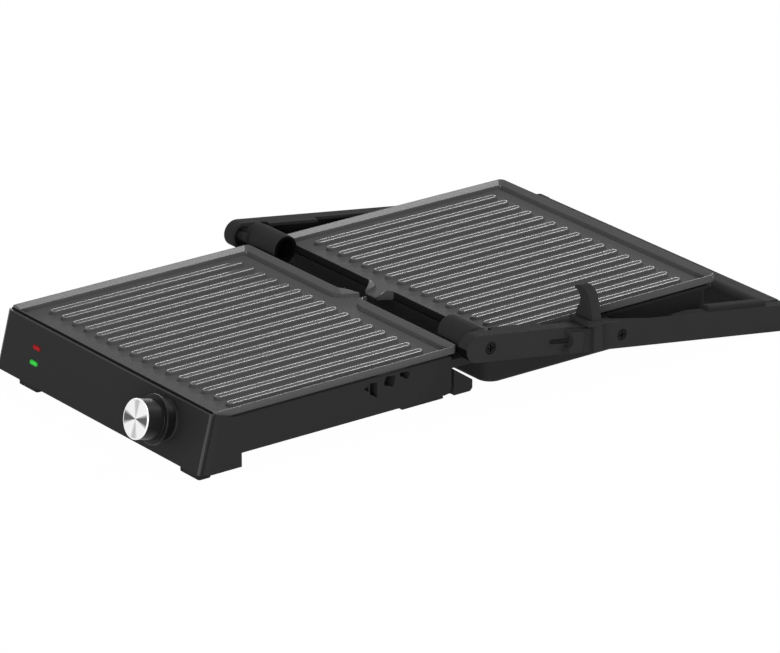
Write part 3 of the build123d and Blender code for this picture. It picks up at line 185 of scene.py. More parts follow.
class Shading:
    """A node tree in which shader maths is written as expressions."""

    def __init__(self, tree):
        self.tree = tree

    def fill(self, target, value):
        """Links a socket to a node's output, or sets it to a number, a vector or a colour."""
        if isinstance(value, Socket):
            self.tree.links.new(value.output, target)
        elif isinstance(value, tuple) and len(value) < len(target.default_value):
            target.default_value = (*value, 1.0)
        else:
            target.default_value = value

    def node(self, kind, settings=None, sockets=None, output=0):
        """Adds a node, makes its settings, fills its sockets and gives one of its outputs."""
        node = self.tree.nodes.new("ShaderNode" + kind)
        for key, value in (settings or {}).items():
            setattr(node, key, value)
        for key, value in (sockets or {}).items():
            self.fill(node.inputs[key], value)
        return Socket(self, node.outputs[output])

    def maths(self, operation, *terms):
        """One step of maths on sockets and numbers."""
        return self.node("Math", {"operation": operation}, dict(enumerate(terms)))

    def mixed(self, amount, low, high):
        """A colour between low and high."""
        sockets = {"Factor": amount, "A": low, "B": high}
        return self.node("Mix", {"data_type": "RGBA"}, sockets, "Result")

    def axes(self, place):
        """The X, Y and Z of a place."""
        split = self.node("SeparateXYZ", sockets={"Vector": place}).output.node
        return [Socket(self, output) for output in split.outputs]

    def above(self, value, level, blur=0.0001):
        """1 where value is over level and 0 under it, blurred over a short way."""
        return ((value - level) / blur + 0.5).clamped()

    def below(self, value, level, blur=0.0001):
        """1 where value is under level and 0 over it, blurred over a short way."""
        return ((level - value) / blur + 0.5).clamped()

    def seen_directly(self):
        """1 for rays from the camera, in a reflection or through glass, and 0 for other light."""
        rays = self.node("LightPath", output="Is Camera Ray")
        for kind in ("Is Glossy Ray", "Is Transmission Ray"):
            rays = rays + self.node("LightPath", output=kind)
        return rays.clamped()


class Finish(Shading):
    """A procedural material and its shader."""

    def __init__(self, name, roughness=0.5, metallic=0.0, specular=0.5):
        self.material = bpy.data.materials.new(name)
        self.material.use_nodes = True
        super().__init__(self.material.node_tree)
        self.shader = self.tree.nodes["Principled BSDF"]
        self.feed("Roughness", roughness)
        self.feed("Metallic", metallic)
        self.feed("Specular IOR Level", specular)

    def feed(self, socket, value):
        """Sets or links one of the shader's sockets."""
        self.fill(self.shader.inputs[socket], value)

    def place(self, centre=(0, 0, 0), turn=(0, 0, 0), stretch=(1, 1, 1)):
        """Object coordinates, seen from centre, turned and stretched."""
        spot = self.node("TexCoord", output="Object")
        sockets = {"Vector": spot, "Location": centre, "Rotation": turn, "Scale": stretch}
        return self.node("Mapping", {"vector_type": "TEXTURE"}, sockets)

    def noise(self, place, scale, detail=3.0):
        """Noise between 0 and 1 at a scale per metre."""
        return self.node("TexNoise", sockets={"Vector": place, "Scale": scale, "Detail": detail})

    def tone(self, base, amount, low=0.0, high=1.0):
        """The base colour times a number from low to high."""
        return self.mixed(amount, tuple(c * low for c in base), tuple(min(1.0, c * high) for c in base))

    def bump(self, height, depth):
        """A bump of height times depth metres."""
        self.feed("Normal", self.node("Bump", sockets={"Height": height, "Distance": depth}))


MOTTLE_SCALE = 38.0


def moulded(name, base, roughness, grain, depth, spread=0.12, specular=0.06):
    """A moulded plastic with a soft mottle and a fine grain, and the socket of its colour."""
    finish = Finish(name, specular=specular)
    place = finish.place()
    mottle = finish.noise(place, MOTTLE_SCALE)
    fine = finish.noise(place, grain, detail=2.0)
    colour = finish.tone(base, mottle * 0.6 + fine * 0.4, 1 - spread, 1 + spread)
    finish.feed("Base Color", colour)
    finish.feed("Roughness", roughness - 0.05 + fine * 0.06 + mottle * 0.04)
    finish.bump(fine, depth)
    return finish, colour


def grained(name, base, roughness, grain, depth, specular=0.06):
    """The material of a moulded plastic that is alike all over."""
    return moulded(name, base, roughness, grain, depth, specular=specular)[0].material


# Where the panel's glossier bevels start and stop, from its ends and its top
BEVEL_START = 0.0034
BEVEL_STOP = 0.0013
BEVEL_TOP = 0.0005
BEVEL_BLUR = 0.0002


def fascia(name, base):
    """The front panel's plastic: satin, with a glossier bevel at each end and along the top."""
    finish = moulded(name, base, 0.55, 2200.0, 0.00001, spread=0.04)[0]
    across, _, up = finish.axes(finish.place())
    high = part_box("front_panel")[1]
    ends = finish.above(abs(across), high.x - BEVEL_START, BEVEL_BLUR)
    ends = ends * finish.below(abs(across), high.x - BEVEL_STOP, BEVEL_BLUR)
    top = finish.above(up, high.z - BEVEL_TOP, BEVEL_BLUR)
    finish.feed("Coat Weight", (ends + top * 0.6).clamped())
    finish.feed("Coat Roughness", 0.3)
    return finish.material


# Painted shade in the bores of the barrels and on the side of the right arm's nose, measured from the
# hinge
BORE_RADIUS = 0.0112
BARREL_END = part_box("hinge_barrel_right")[1].x
NOSE_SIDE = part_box("arm_right")[1].x - 0.0009
NOSE_FRONT = -0.00425
NOSE_TOP = 0.0035
PAINTED_SHADE_BLUR = 0.0002
PAINTED_SHADE_SHARE = 0.12


def hinge_plastic_with_painted_shade(name, base):
    """The arms' and barrels' plastic, with painted shade in the bores and on the side of the right
    arm's nose.
    """
    finish, plain = moulded(name, base, 0.65, 1700.0, 0.00002, specular=0.01)
    across, along, up = finish.axes(finish.place(centre=tuple(HINGE)))
    radius = (along * along + up * up) ** 0.5
    bore = finish.below(radius, BORE_RADIUS, PAINTED_SHADE_BLUR)
    bore = bore * finish.below(abs(across), BARREL_END - 0.0001, PAINTED_SHADE_BLUR)
    nose = finish.below(across, NOSE_SIDE, PAINTED_SHADE_BLUR)
    nose = nose * finish.above(across, BARREL_END + 0.0001, PAINTED_SHADE_BLUR)
    nose = nose * finish.below(along, NOSE_FRONT, 0.0005) * finish.below(up, NOSE_TOP, 0.001)
    # Painted shade: the bores and the side of the right arm's nose take a dark share of the plastic's
    # colour
    dark = tuple(c * PAINTED_SHADE_SHARE for c in base)
    finish.feed("Base Color", finish.mixed((bore + nose).clamped(), plain, dark))
    return finish.material


# Widths and depths of the coating's bands: beside the lip, at the rims' foot, at the ribs' tops
# and at the outer walls, where shade is painted
LIP_MARGIN = 0.002
GAP_MARGIN = 0.0004
RIM_MARGIN = 0.0002
RIB_BAND_DEPTH = 0.0006
RIB_TOP_DEPTH = 0.00003
WALL_BAND = 0.0003
WALL_TOP_DEPTH = 0.0004


def coated(name, base):
    """Non-stick coating: speckled grey, glossy at rims and rib edges, with painted shade on front and
    back walls.
    """
    sizes = bpy.context.scene.grill_sizes
    finish = Finish(name, specular=0.01)
    above, below = finish.above, finish.below
    place = finish.place(centre=(0, HINGE.y, CREST))
    speck = finish.noise(place, 2600.0, detail=2.0)
    cloud = finish.noise(place, 22.0, detail=2.0)
    across, along, up = finish.axes(place)

    half_width = sizes.plate_width / 2
    half_depth = sizes.plate_depth / 2
    half_gap = sizes.plate_gap / 2
    beyond = abs(abs(along) - (half_gap + half_depth))
    outline = finish.maths("MAXIMUM", abs(across) - half_width, beyond - half_depth)
    beside_lip = above(abs(across), sizes.spout_root + LIP_MARGIN)
    off_lip = (beside_lip + above(abs(along), half_gap + GAP_MARGIN)).clamped()

    ends = above(beyond - half_depth, -sizes.rim_land) * off_lip
    rims = above(up, -sizes.rim_drop - RIM_MARGIN) * (1.0 - ends)
    crests = (above(outline, -sizes.rim_land) + (1.0 - off_lip)).clamped()
    rib_crest = sizes.rib_height - sizes.floor_drop
    edges = above(up, rib_crest - RIB_BAND_DEPTH) * below(up, rib_crest - RIB_TOP_DEPTH, 0.00003)
    edges = edges * below(outline, -sizes.rim_run)
    # Painted shade: a band down the outer walls below the crest, darkened in colour and left without
    # coat
    wall = above(outline, -WALL_BAND, 0.0002) * below(up, -WALL_TOP_DEPTH, 0.0003) * off_lip
    side_wall = above(abs(across), half_width - WALL_BAND, 0.0002)
    coat = rims * (crests * 0.7 + 0.3) * (1.0 - wall) + edges
    finish.feed("Coat Weight", coat.clamped())
    finish.feed("Coat Roughness", 0.2)

    shade = (speck * 0.6 + cloud * 0.4) * 0.24 + 0.88
    # Painted shade darkens the front and back walls, not the side walls
    shade = shade * (1.0 - wall * (1.0 - side_wall) * 0.85)
    finish.feed("Base Color", finish.tone(base, shade * 0.5, 0.0, 2.0))
    finish.feed("Roughness", 0.42 + speck * 0.08 + cloud * 0.06)
    finish.bump(speck, 0.00001)
    return finish.material


def plated(name, base, roughness):
    """Plated or blackened steel with fine drawn marks."""
    finish = Finish(name, metallic=1.0)
    marks = finish.noise(finish.place(stretch=(1, 6, 6)), 900.0, detail=2.0)
    finish.feed("Base Color", finish.tone(base, marks, 0.8, 1.1))
    finish.feed("Roughness", roughness - 0.08 + marks * 0.16)
    finish.bump(marks, 0.00001)
    return finish.material


def knob_frame():
    """The turn from the knob's own axes, with its shaft along Z, to the grill's."""
    across = Vector((1, 0, 0))
    return Matrix((across, KNOB_AXIS.cross(across), KNOB_AXIS)).transposed()


# Centre and half width in degrees, and softness, of the cap's two pairs of wedges of painted reflection
DARK_REFLECTION_WEDGE = (8.5, 19.0, 0.3)
GREY_REFLECTION_WEDGE = (99.0, 13.0, 0.22)
CAP_FACE_RADIUS = 0.015217
CAP_RINGS = 9000.0


def turned_cap(name, base):
    """Turned metal: fine rings, with dark and grey wedges of painted reflection in its colour."""
    finish = Finish(name, metallic=0.9)
    place = finish.place(centre=tuple(KNOB_BASE), turn=tuple(knob_frame().to_euler()))
    across, up, _ = finish.axes(place)
    angle = finish.maths("ARCTAN2", up, across)

    def painted_reflection_wedge(centre, half_width, softness):
        """1 inside two opposite wedges of painted reflection that share a centre line, with soft edges.
        """
        turn = finish.maths("COSINE", (angle - math.radians(centre)) * 2.0)
        return finish.above(turn, math.cos(math.radians(2 * half_width)), softness)

    radius = (across * across + up * up) ** 0.5
    face = finish.below(radius, CAP_FACE_RADIUS, 0.000167)
    rings = finish.maths("SINE", radius * CAP_RINGS) * 0.5 + 0.5
    # Painted reflection: dark and grey wedges in the cap's colour stand in for the turned face's
    # reflections
    dark = painted_reflection_wedge(*DARK_REFLECTION_WEDGE) * face
    grey = painted_reflection_wedge(*GREY_REFLECTION_WEDGE) * face
    shade = (1.0 - dark * 0.86) * (1.0 - grey * 0.42) - rings * 0.05
    finish.feed("Base Color", finish.tone(base, shade, 0.0, 1.0))
    finish.feed("Roughness", 0.3 + rings * 0.08)
    finish.bump(rings, 0.000004)
    return finish.material


def lit_lens(name, base, strength, node):
    """A lit lens: bright patches that fade towards the edge of its node."""
    finish = Finish(name, roughness=0.3, specular=0.05)
    low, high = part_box(node)
    place = finish.place(centre=tuple((low + high) / 2))
    across, _, up = finish.axes(place)
    across = across / ((high.x - low.x) / 2)
    up = up / ((high.z - low.z) / 2)
    fade = (1.25 - (across * across + up * up) ** 0.5).clamped()
    patches = (finish.noise(place, 620.0, detail=1.0) * 2.2 - 0.35).clamped()
    glow = patches * (fade * 1.6).clamped()
    finish.feed("Base Color", finish.tone(base, glow, 0.2, 0.8))
    finish.feed("Emission Color", finish.tone(base, glow, 0.15, 1.1))
    finish.feed("Emission Strength", strength)
    return finish.material


def make_finishes():
    """All finishes by name, from the colours in the sidebar."""
    colours = bpy.context.scene.grill_colours
    return {
        "coating": coated("nonstick_coating", tuple(colours.coating)),
        "housing": grained("housing_black", tuple(colours.housing), 0.58, 1500.0, 0.00003),
        "front": fascia("front_black", tuple(colours.front)),
        "arm": grained("arm_black", tuple(colours.arm), 0.65, 1700.0, 0.00002, specular=0.01),
        "hinge": hinge_plastic_with_painted_shade("hinge_black", tuple(colours.arm)),
        "grip": grained("grip_black", tuple(colours.grip), 0.6, 1700.0, 0.00002, specular=0.02),
        "knob": grained("knob_black", tuple(colours.knob), 0.4, 2000.0, 0.00001, specular=0.15),
        "rubber": grained("foot_rubber", tuple(colours.rubber), 0.75, 900.0, 0.00005, specular=0.2),
        "cap": turned_cap("turned_cap", tuple(colours.cap)),
        "steel": plated("plated_steel", tuple(colours.steel), 0.34),
        "dark_steel": plated("blackened_steel", tuple(colours.dark_steel), 0.42),
        "shield": plated("pressed_aluminium", tuple(colours.shield), 0.4),
        "board": grained("lamp_board_green", tuple(colours.board), 0.5, 800.0, 0.00002),
        "pale": grained("pale_moulding", tuple(colours.pale), 0.55, 700.0, 0.00003),
        "red": lit_lens("red_lens", tuple(colours.red), 0.7, "power_lens"),
        "green": lit_lens("green_lens", tuple(colours.green), 0.9, "ready_lens"),
    }


FINISHES = {}


def finish_named(name):
    """The finish of that name, made on first use."""
    if not FINISHES:
        FINISHES.update(make_finishes())
    return FINISHES[name]


def paint(piece, name):
    """Gives a piece or a CAD node one finish all over."""
    piece.data.materials.clear()
    piece.data.materials.append(finish_named(name))


def clear_selection():
    """Leaves edit mode and deselects everything."""
    if bpy.context.object and bpy.context.object.mode != "OBJECT":
        bpy.ops.object.mode_set(mode="OBJECT")
    bpy.ops.object.select_all(action="DESELECT")


def take(piece):
    """Makes a piece the only one selected, and the active one."""
    clear_selection()
    piece.select_set(True)
    bpy.context.view_layer.objects.active = piece
    return piece


def edit(piece):
    """Opens a piece in edit mode."""
    take(piece)
    bpy.ops.object.mode_set(mode="EDIT")


def pick_vertices(piece, test):
    """Selects the vertices, in edit mode, that pass the test."""
    bpy.context.tool_settings.mesh_select_mode = (True, False, False)
    bpy.ops.mesh.select_all(action="DESELECT")
    mesh = bmesh.from_edit_mesh(piece.data)
    chosen = [vertex for vertex in mesh.verts if test(vertex)]
    if not chosen:
        raise ValueError("no vertex of " + piece.name + " passes the test")
    for vertex in chosen:
        vertex.select_set(True)
    mesh.select_flush_mode()
    bmesh.update_edit_mesh(piece.data)


def settle(piece, name):
    """Leaves edit mode, puts the object at the origin with its place in its mesh, and names it."""
    take(piece)
    bpy.ops.object.transform_apply(location=True, rotation=True, scale=True)
    piece.name = name
    piece.data.name = name
    return piece


def shaded(piece, degrees=35.0):
    """Shades a piece smooth up to an angle, its large faces kept flat."""
    take(piece)
    bpy.ops.object.shade_smooth_by_angle(angle=math.radians(degrees))
    flat = piece.modifiers.new("Flat faces", "WEIGHTED_NORMAL")
    flat.keep_sharp = True
    bpy.ops.object.modifier_apply(modifier=flat.name)


def rounded(piece, width, segments=2, degrees=28.0):
    """Rounds a piece's hard edges."""
    take(piece)
    edges = piece.modifiers.new("Rounding", "BEVEL")
    edges.width = width
    edges.segments = segments
    edges.limit_method = "ANGLE"
    edges.angle_limit = math.radians(degrees)
    bpy.ops.object.modifier_apply(modifier=edges.name)


def block(name, low, high):
    """A block from its lowest to its highest corner, as a start to shape."""
    clear_selection()
    low, high = Vector(low), Vector(high)
    bpy.ops.mesh.primitive_cube_add(size=1.0, location=(low + high) / 2, scale=high - low)
    return settle(bpy.context.object, name)


def join(pieces, name):
    """Joins pieces into the first of them."""
    clear_selection()
    for piece in pieces:
        piece.select_set(True)
    bpy.context.view_layer.objects.active = pieces[0]
    bpy.ops.object.join()
    return settle(bpy.context.object, name)


def finished(piece, body, paint_name, slot, *nodes):
    """Paints a piece, lets it ride on its body and stand for its CAD nodes."""
    clear_selection()
    paint(piece, paint_name)
    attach(piece, body)
    if nodes:
        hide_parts(*nodes)
    return piece


CAD_MERGE_DISTANCE = 0.00001


def merged(node, name):
    """A copy of a CAD node with its doubles merged and its flat faces whole."""
    source = frame["nodes"][node]
    piece = source.copy()
    piece.data = source.data.copy()
    piece.parent = None
    for key in list(piece.keys()):
        del piece[key]
    bpy.context.scene.collection.objects.link(piece)
    edit(piece)
    bpy.ops.mesh.select_all(action="SELECT")
    bpy.ops.mesh.customdata_custom_splitnormals_clear()
    bpy.ops.mesh.remove_doubles(threshold=CAD_MERGE_DISTANCE)
    bpy.ops.mesh.dissolve_limited(angle_limit=math.radians(0.5))
    bpy.ops.object.mode_set(mode="OBJECT")
    return settle(piece, name)


def softened(node, name, width):
    """A merged copy of a CAD node with its hard edges rounded."""
    piece = merged(node, name)
    rounded(piece, width)
    shaded(piece)
    return piece


RIB_POINTS = 40
CORNER_STEPS = 4


def model_rib(sizes, start_y, end_y, floor):
    """One rib: a round-ended bar with sloping sides, a chamfered top edge and a shallow facet."""
    height = sizes.rib_height + sizes.rib_sunk - sizes.rib_crown
    side = sizes.rib_side * height / (sizes.rib_height - sizes.rib_crown)
    clear_selection()
    root = (0, start_y, floor - sizes.rib_sunk)
    bpy.ops.mesh.primitive_circle_add(
        vertices=RIB_POINTS, radius=sizes.rib_top / 2 + side, fill_type="NGON", location=root
    )
    rib = settle(bpy.context.object, "rib")
    edit(rib)
    pick_vertices(rib, lambda vertex: vertex.co.y > start_y)
    bpy.ops.transform.translate(value=(0, end_y - start_y, 0))
    bpy.ops.mesh.select_all(action="SELECT")
    bpy.ops.mesh.extrude_region_move()
    bpy.ops.mesh.inset(thickness=side, depth=height)
    bpy.ops.mesh.inset(thickness=sizes.rib_facet, depth=sizes.rib_crown)
    bpy.ops.mesh.region_to_loop()
    bpy.ops.mesh.mark_sharp()
    bpy.ops.mesh.select_all(action="SELECT")
    bpy.ops.mesh.remove_doubles(threshold=MERGE_DISTANCE)
    bpy.ops.mesh.normals_make_consistent(inside=False)
    bpy.ops.object.mode_set(mode="OBJECT")
    rounded(rib, sizes.rib_edge, segments=1, degrees=40.0)
    bpy.ops.object.shade_smooth_by_angle(angle=math.radians(20.0))
    return rib


def lip_side(sizes, lip, level, inset, tip_inset, mouth_level):
    """Corners of a lip's right side at one level, from the rim to its mouth."""
    root_half, tip_half, reach, fall, bank = lip
    slant = math.hypot(root_half - tip_half, reach)
    root = Vector((root_half - inset * (slant - root_half + tip_half) / reach, -inset))
    tip = Vector((tip_half - tip_inset, reach))
    bend = root.lerp(tip, (sizes.lip_level + inset) / (reach + inset))
    start = root + Vector(((bend - root).length, 0))
    steps = (0, 0.25, 0.5, 0.75, 1)
    corners = [(*start.lerp(root, s).lerp(root.lerp(bend, s), s), level) for s in steps]
    corners.append((*tip, min(level, -fall)))
    corners.append((tip_half - sizes.rim_land - bank - sizes.rim_step, reach, mouth_level))
    return corners


def rim_corners(sizes, level, inset, radius):
    """Corners of a plate's rounded outline at one level, from the lip's left round to its right."""
    corners = []
    half = sizes.plate_width / 2 - inset - radius
    near, far = -inset - radius, inset + radius - sizes.plate_depth
    for turn, (x, y) in enumerate(((-half, near), (-half, far), (half, far), (half, near))):
        for step in range(CORNER_STEPS + 1):
            angle = math.radians(90 + 90 * turn + 90 / CORNER_STEPS * step)
            corners.append((x + radius * math.cos(angle), y + radius * math.sin(angle), level))
    return corners


def whole_loop(right, rim):
    """A closed loop: the lip's right side, its mirror image and the rim."""
    return right + [(-x, y, z) for x, y, z in reversed(right)] + rim


def plate_loops(sizes, lip):
    """The loops of a cast plate, from its underside up over its crest and down to its floor."""
    bank = lip[-1]
    wall_foot = -sizes.wall_height
    outer = lip_side(sizes, lip, 0, 0, 0, -sizes.floor_drop)
    pan = [(x, -sizes.pan_inset, -sizes.pan_drop) for x, _, _ in outer]
    under = [(x, y, -sizes.lip_under) for x, y, _ in outer]
    under[0] = (*under[0][:2], wall_foot)
    shoulder = [(x, -sizes.pan_inset, z) for x, _, z in under]
    loops = [
        whole_loop(pan, rim_corners(sizes, -sizes.pan_drop, sizes.pan_inset, sizes.plate_corner)),
        whole_loop(shoulder, rim_corners(sizes, wall_foot, sizes.pan_inset, sizes.plate_corner)),
        whole_loop(under, rim_corners(sizes, wall_foot, 0, sizes.plate_corner)),
        whole_loop(outer, rim_corners(sizes, 0, 0, sizes.plate_corner)),
    ]
    land, step = sizes.rim_land, sizes.rim_step
    slope_in = land + sizes.rim_run
    for level, inset, tip_inset, radius in (
        (0, land, land, sizes.plate_corner - land),
        (-sizes.rim_drop, slope_in, land + bank, sizes.floor_corner),
        (-sizes.floor_drop, slope_in + step, land + bank + step, sizes.floor_corner),
    ):
        right = lip_side(sizes, lip, level, inset, tip_inset, -sizes.floor_drop)
        if level == -sizes.floor_drop:
            right[-2] = right[-1]
        loops.append(whole_loop(right, rim_corners(sizes, level, inset, radius)))
    return loops


def model_tray(sizes, near_y, way, lip):
    """One cast tray, extruded level by level from the pan to the floor, with an open lip in its rim."""
    loops = plate_loops(sizes, lip)
    clear_selection()
    bpy.ops.mesh.primitive_circle_add(vertices=len(loops[0]), radius=0.01, fill_type="NGON")
    tray = settle(bpy.context.object, "tray")
    edit(tray)
    mesh = bmesh.from_edit_mesh(tray.data)
    order = mesh.verts.layers.int.new("order")
    for place, vertex in enumerate(mesh.verts):
        vertex[order] = place
    for level, loop in enumerate(loops):
        if level:
            bpy.ops.mesh.extrude_region_move()
        mesh = bmesh.from_edit_mesh(tray.data)
        order = mesh.verts.layers.int["order"]
        for vertex in mesh.verts:
            if vertex.select:
                x, y, z = loop[vertex[order]]
                vertex.co = Vector((x, near_y - way * y, CREST + z))
    mesh.verts.layers.int.remove(order)
    bpy.ops.mesh.select_all(action="SELECT")
    bpy.ops.mesh.remove_doubles(threshold=MERGE_DISTANCE)
    bpy.ops.mesh.normals_make_consistent(inside=False)
    bpy.ops.object.mode_set(mode="OBJECT")
    rounded(tray, sizes.cast_edge)
    return tray


def model_plate(name, sizes, near_y, way, lip):
    """A whole cast plate: its tray and its row of ribs."""
    tray = model_tray(sizes, near_y, way, lip)
    rib_end = sizes.rib_top / 2 + sizes.rib_side
    start = near_y + way * (sizes.rib_near + rib_end) + sizes.rib_back
    end = near_y + way * (sizes.plate_depth - sizes.rib_far - rib_end) + sizes.rib_back
    first = model_rib(sizes, min(start, end), max(start, end), CREST - sizes.floor_drop)
    pieces = [tray]
    for index in range(sizes.rib_count):
        rib = first.copy()
        rib.data = first.data.copy()
        bpy.context.scene.collection.objects.link(rib)
        rib.location.x = (index - (sizes.rib_count - 1) / 2) * sizes.rib_pitch + sizes.rib_right
        pieces.append(rib)
    bpy.data.objects.remove(first)
    plate = join(pieces, name)
    shaded(plate, 60.0)
    return plate


class GRILL_OT_plates(bpy.types.Operator):
    """Model the two cast plates, with their rims, ribs, spout and tongue"""

    bl_idname = "grill.plates"
    bl_label = "Cast plates"

    def execute(self, context):
        sizes = context.scene.grill_sizes
        spout = (
            sizes.spout_root, sizes.spout_tip, sizes.spout_reach, sizes.spout_fall,
            sizes.spout_bank,
        )
        tongue = (
            sizes.tongue_root, sizes.tongue_tip, sizes.tongue_reach, sizes.tongue_fall,
            sizes.tongue_bank,
        )
        half_gap = sizes.plate_gap / 2
        lower = model_plate("lower_plate_casting", sizes, HINGE.y - half_gap, -1, spout)
        finished(lower, "base", "coating", "nonstick", "lower_plate")
        upper = model_plate("upper_plate_casting", sizes, HINGE.y + half_gap, 1, tongue)
        finished(upper, "lid", "coating", "nonstick", "upper_plate")
        return {"FINISHED"}


# Outlines of the knob's body, from its root over its skirt, and of its cap, as radius and height
KNOB_BODY = (
    (0.0030, 0.0035), (0.0166, 0.0035), (0.0166, 0.0109), (0.0199, 0.0119), (0.0204, 0.0124),
    (0.0204, 0.0140), (0.0198, 0.0146), (0.0168, 0.0146), (0.0164, 0.0154), (0.0164, 0.0295),
    (0.0030, 0.0295),
)
KNOB_DISC = (
    (0.0, 0.0295), (0.0162, 0.0295), (0.0165, 0.0298), (0.0165, 0.0304), (0.0163, 0.0307),
    (0.0159, 0.0310), (0.0154, 0.0310), (0.0152, 0.0308), (0.0, 0.0308),
)


KNOB_ROUNDING = 0.0003
SPIN_STEPS = 64


def spun(name, profile):
    """A turned piece: an outline of radius and height, spun round the knob's axis."""
    clear_selection()
    bpy.ops.mesh.primitive_circle_add(vertices=len(profile), radius=0.01, fill_type="NOTHING")
    piece = settle(bpy.context.object, name)
    edit(piece)
    mesh = bmesh.from_edit_mesh(piece.data)
    for vertex, (radius, height) in zip(mesh.verts, profile):
        vertex.co = Vector((radius, 0, height))
    bmesh.update_edit_mesh(piece.data)
    bpy.ops.mesh.select_all(action="SELECT")
    bpy.ops.mesh.spin(steps=SPIN_STEPS, angle=math.tau, center=(0, 0, 0), axis=(0, 0, 1))
    bpy.ops.mesh.select_all(action="SELECT")
    bpy.ops.mesh.remove_doubles(threshold=MERGE_DISTANCE)
    bpy.ops.mesh.normals_make_consistent(inside=False)
    bpy.ops.object.mode_set(mode="OBJECT")
    piece.matrix_world = Matrix.Translation(KNOB_BASE) @ knob_frame().to_4x4()
    return settle(piece, name)


class GRILL_OT_knob(bpy.types.Operator):
    """Turn the knob's body and its metal cap"""

    bl_idname = "grill.knob"
    bl_label = "Knob"

    def execute(self, context):
        body = spun("knob_body", KNOB_BODY)
        rounded(body, KNOB_ROUNDING)
        shaded(body)
        finished(body, "knob", "knob", "knob_plastic", "knob")
        cap = spun("knob_disc", KNOB_DISC)
        shaded(cap, 50.0)
        finished(cap, "knob", "cap", "knob_metal", "knob_cap")
        return {"FINISHED"}


# Node, body, finish, material slot and rounding of each moulding
SOFTENED = (
    ("front_panel", "base", "front", "panel_plastic", 0.0005),
    ("base_housing", "base", "housing", "housing_plastic", 0.0006),
    ("hinge_barrel_left", "base", "hinge", "housing_plastic", 0.0004),
    ("hinge_barrel_right", "base", "hinge", "housing_plastic", 0.0004),
    ("arm_left", "arms", "hinge", "arm_plastic", 0.0007),
    ("arm_right", "arms", "hinge", "arm_plastic", 0.0007),
    ("handle_grip", "arms", "grip", "arm_plastic", 0.0008),
    ("lock_hook", "lock", "arm", "arm_plastic", 0.0006),
    ("lid_shell", "lid", "housing", "housing_plastic", 0.0006),
    ("drip_tray", "tray", "housing", "housing_plastic", 0.0005),
    ("front_feet", "base", "rubber", "foot_rubber", 0.0004),
)

# Corners of the right bracket, and of the right arm's shoulder along the arm from the hinge
BRACKET_LOW = Vector((0.111, HINGE.y - 0.004, 0.038))
BRACKET_HIGH = Vector((0.147, HINGE.y + 0.007, 0.0475))
BRACKET_ROUNDING = 0.0015
SHOULDER_LOW = Vector((0.1567, 0.231, 0.009))
SHOULDER_HIGH = Vector((0.1652, 0.294, 0.0154))
SHOULDER_ROUNDING = 0.0008


def sided_block(name, low, high, side):
    """A block from its corners on the right, for a side of 1, or its mirror image, for -1."""
    near, far = sorted((side * low.x, side * high.x))
    return block(name, (near, low.y, low.z), (far, high.y, high.z))


def barrel_bracket(side):
    """The bracket that carries a hinge barrel."""
    bracket = sided_block("barrel_bracket", BRACKET_LOW, BRACKET_HIGH, side)
    rounded(bracket, BRACKET_ROUNDING)
    shaded(bracket)
    return bracket


def arm_shoulder(side):
    """The raised end of an arm beside the grip."""
    shoulder = sided_block("arm_shoulder", SHOULDER_LOW, SHOULDER_HIGH, side)
    across, along = Vector((1, 0, 0)), -Vector(JOINTS["lock_slide"]["axis"])
    turn = Matrix((across, along, across.cross(along))).transposed()
    shoulder.matrix_world = Matrix.Translation(HINGE) @ turn.to_4x4()
    settle(shoulder, "arm_shoulder")
    rounded(shoulder, SHOULDER_ROUNDING)
    shaded(shoulder)
    return shoulder


# What is added to a moulding, and on which side
ADDED = {
    "hinge_barrel_left": (barrel_bracket, -1), "hinge_barrel_right": (barrel_bracket, 1),
    "arm_left": (arm_shoulder, -1), "arm_right": (arm_shoulder, 1),
}


class GRILL_OT_mouldings(bpy.types.Operator):
    """Round the edges of the housing, panel, arms, grip, lock, lid and tray"""

    bl_idname = "grill.mouldings"
    bl_label = "Mouldings"

    def execute(self, context):
        for node, body, paint_name, slot, width in SOFTENED:
            piece = softened(node, node + "_moulding", width)
            if node in ADDED:
                model, side = ADDED[node]
                piece = join([piece, model(side)], piece.name)
            finished(piece, body, paint_name, slot, node)
        return {"FINISHED"}


LENS_ROUNDING = 0.0003


class GRILL_OT_lamps(bpy.types.Operator):
    """Round the lamps' lenses and light them"""

    bl_idname = "grill.lamps"
    bl_label = "Lamps"

    def execute(self, context):
        for node, paint_name in (("power_lens", "red"), ("ready_lens", "green")):
            piece = softened(node, node + "_lit", LENS_ROUNDING)
            finished(piece, "base", paint_name, paint_name + "_lens", node)
        return {"FINISHED"}


def cut_bar(piece, centre, reach):
    """Cuts a bar out of a piece."""
    bar = block("cross_bar", centre - reach, centre + reach)
    take(piece)
    recess = piece.modifiers.new("Recess", "BOOLEAN")
    recess.operation = "DIFFERENCE"
    recess.solver = "MANIFOLD"
    recess.object = bar
    bpy.ops.object.modifier_apply(modifier=recess.name)
    bpy.data.objects.remove(bar)


SCREW_ROUNDING = 0.0004
# Depth of a cross recess, and its half length and half width as shares of the head's radius
RECESS_DEPTH = 0.0011
RECESS_REACH = 0.62
RECESS_WIDTH = 0.15


def cross_headed(node, name):
    """A merged copy of a left and a right screw, with rounded edges and cross recesses."""
    piece = merged(node, name)
    low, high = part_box(node)
    middle = (low + high) / 2
    radius = (high.y - low.y) / 2
    rounded(piece, SCREW_ROUNDING)
    for side in (low.x, high.x):
        centre = Vector((side, middle.y, middle.z))
        for along, up in ((RECESS_REACH, RECESS_WIDTH), (RECESS_WIDTH, RECESS_REACH)):
            cut_bar(piece, centre, Vector((RECESS_DEPTH, radius * along, radius * up)))
    shaded(piece)
    return piece


class GRILL_OT_screws(bpy.types.Operator):
    """Round the arms' screws and cut their cross recesses"""

    bl_idname = "grill.screws"
    bl_label = "Arm screws"

    def execute(self, context):
        for node in ("hinge_screws", "lid_pivot_pins"):
            piece = cross_headed(node, node + "_crossed")
            finished(piece, "arms", "dark_steel", "steel", node)
        return {"FINISHED"}


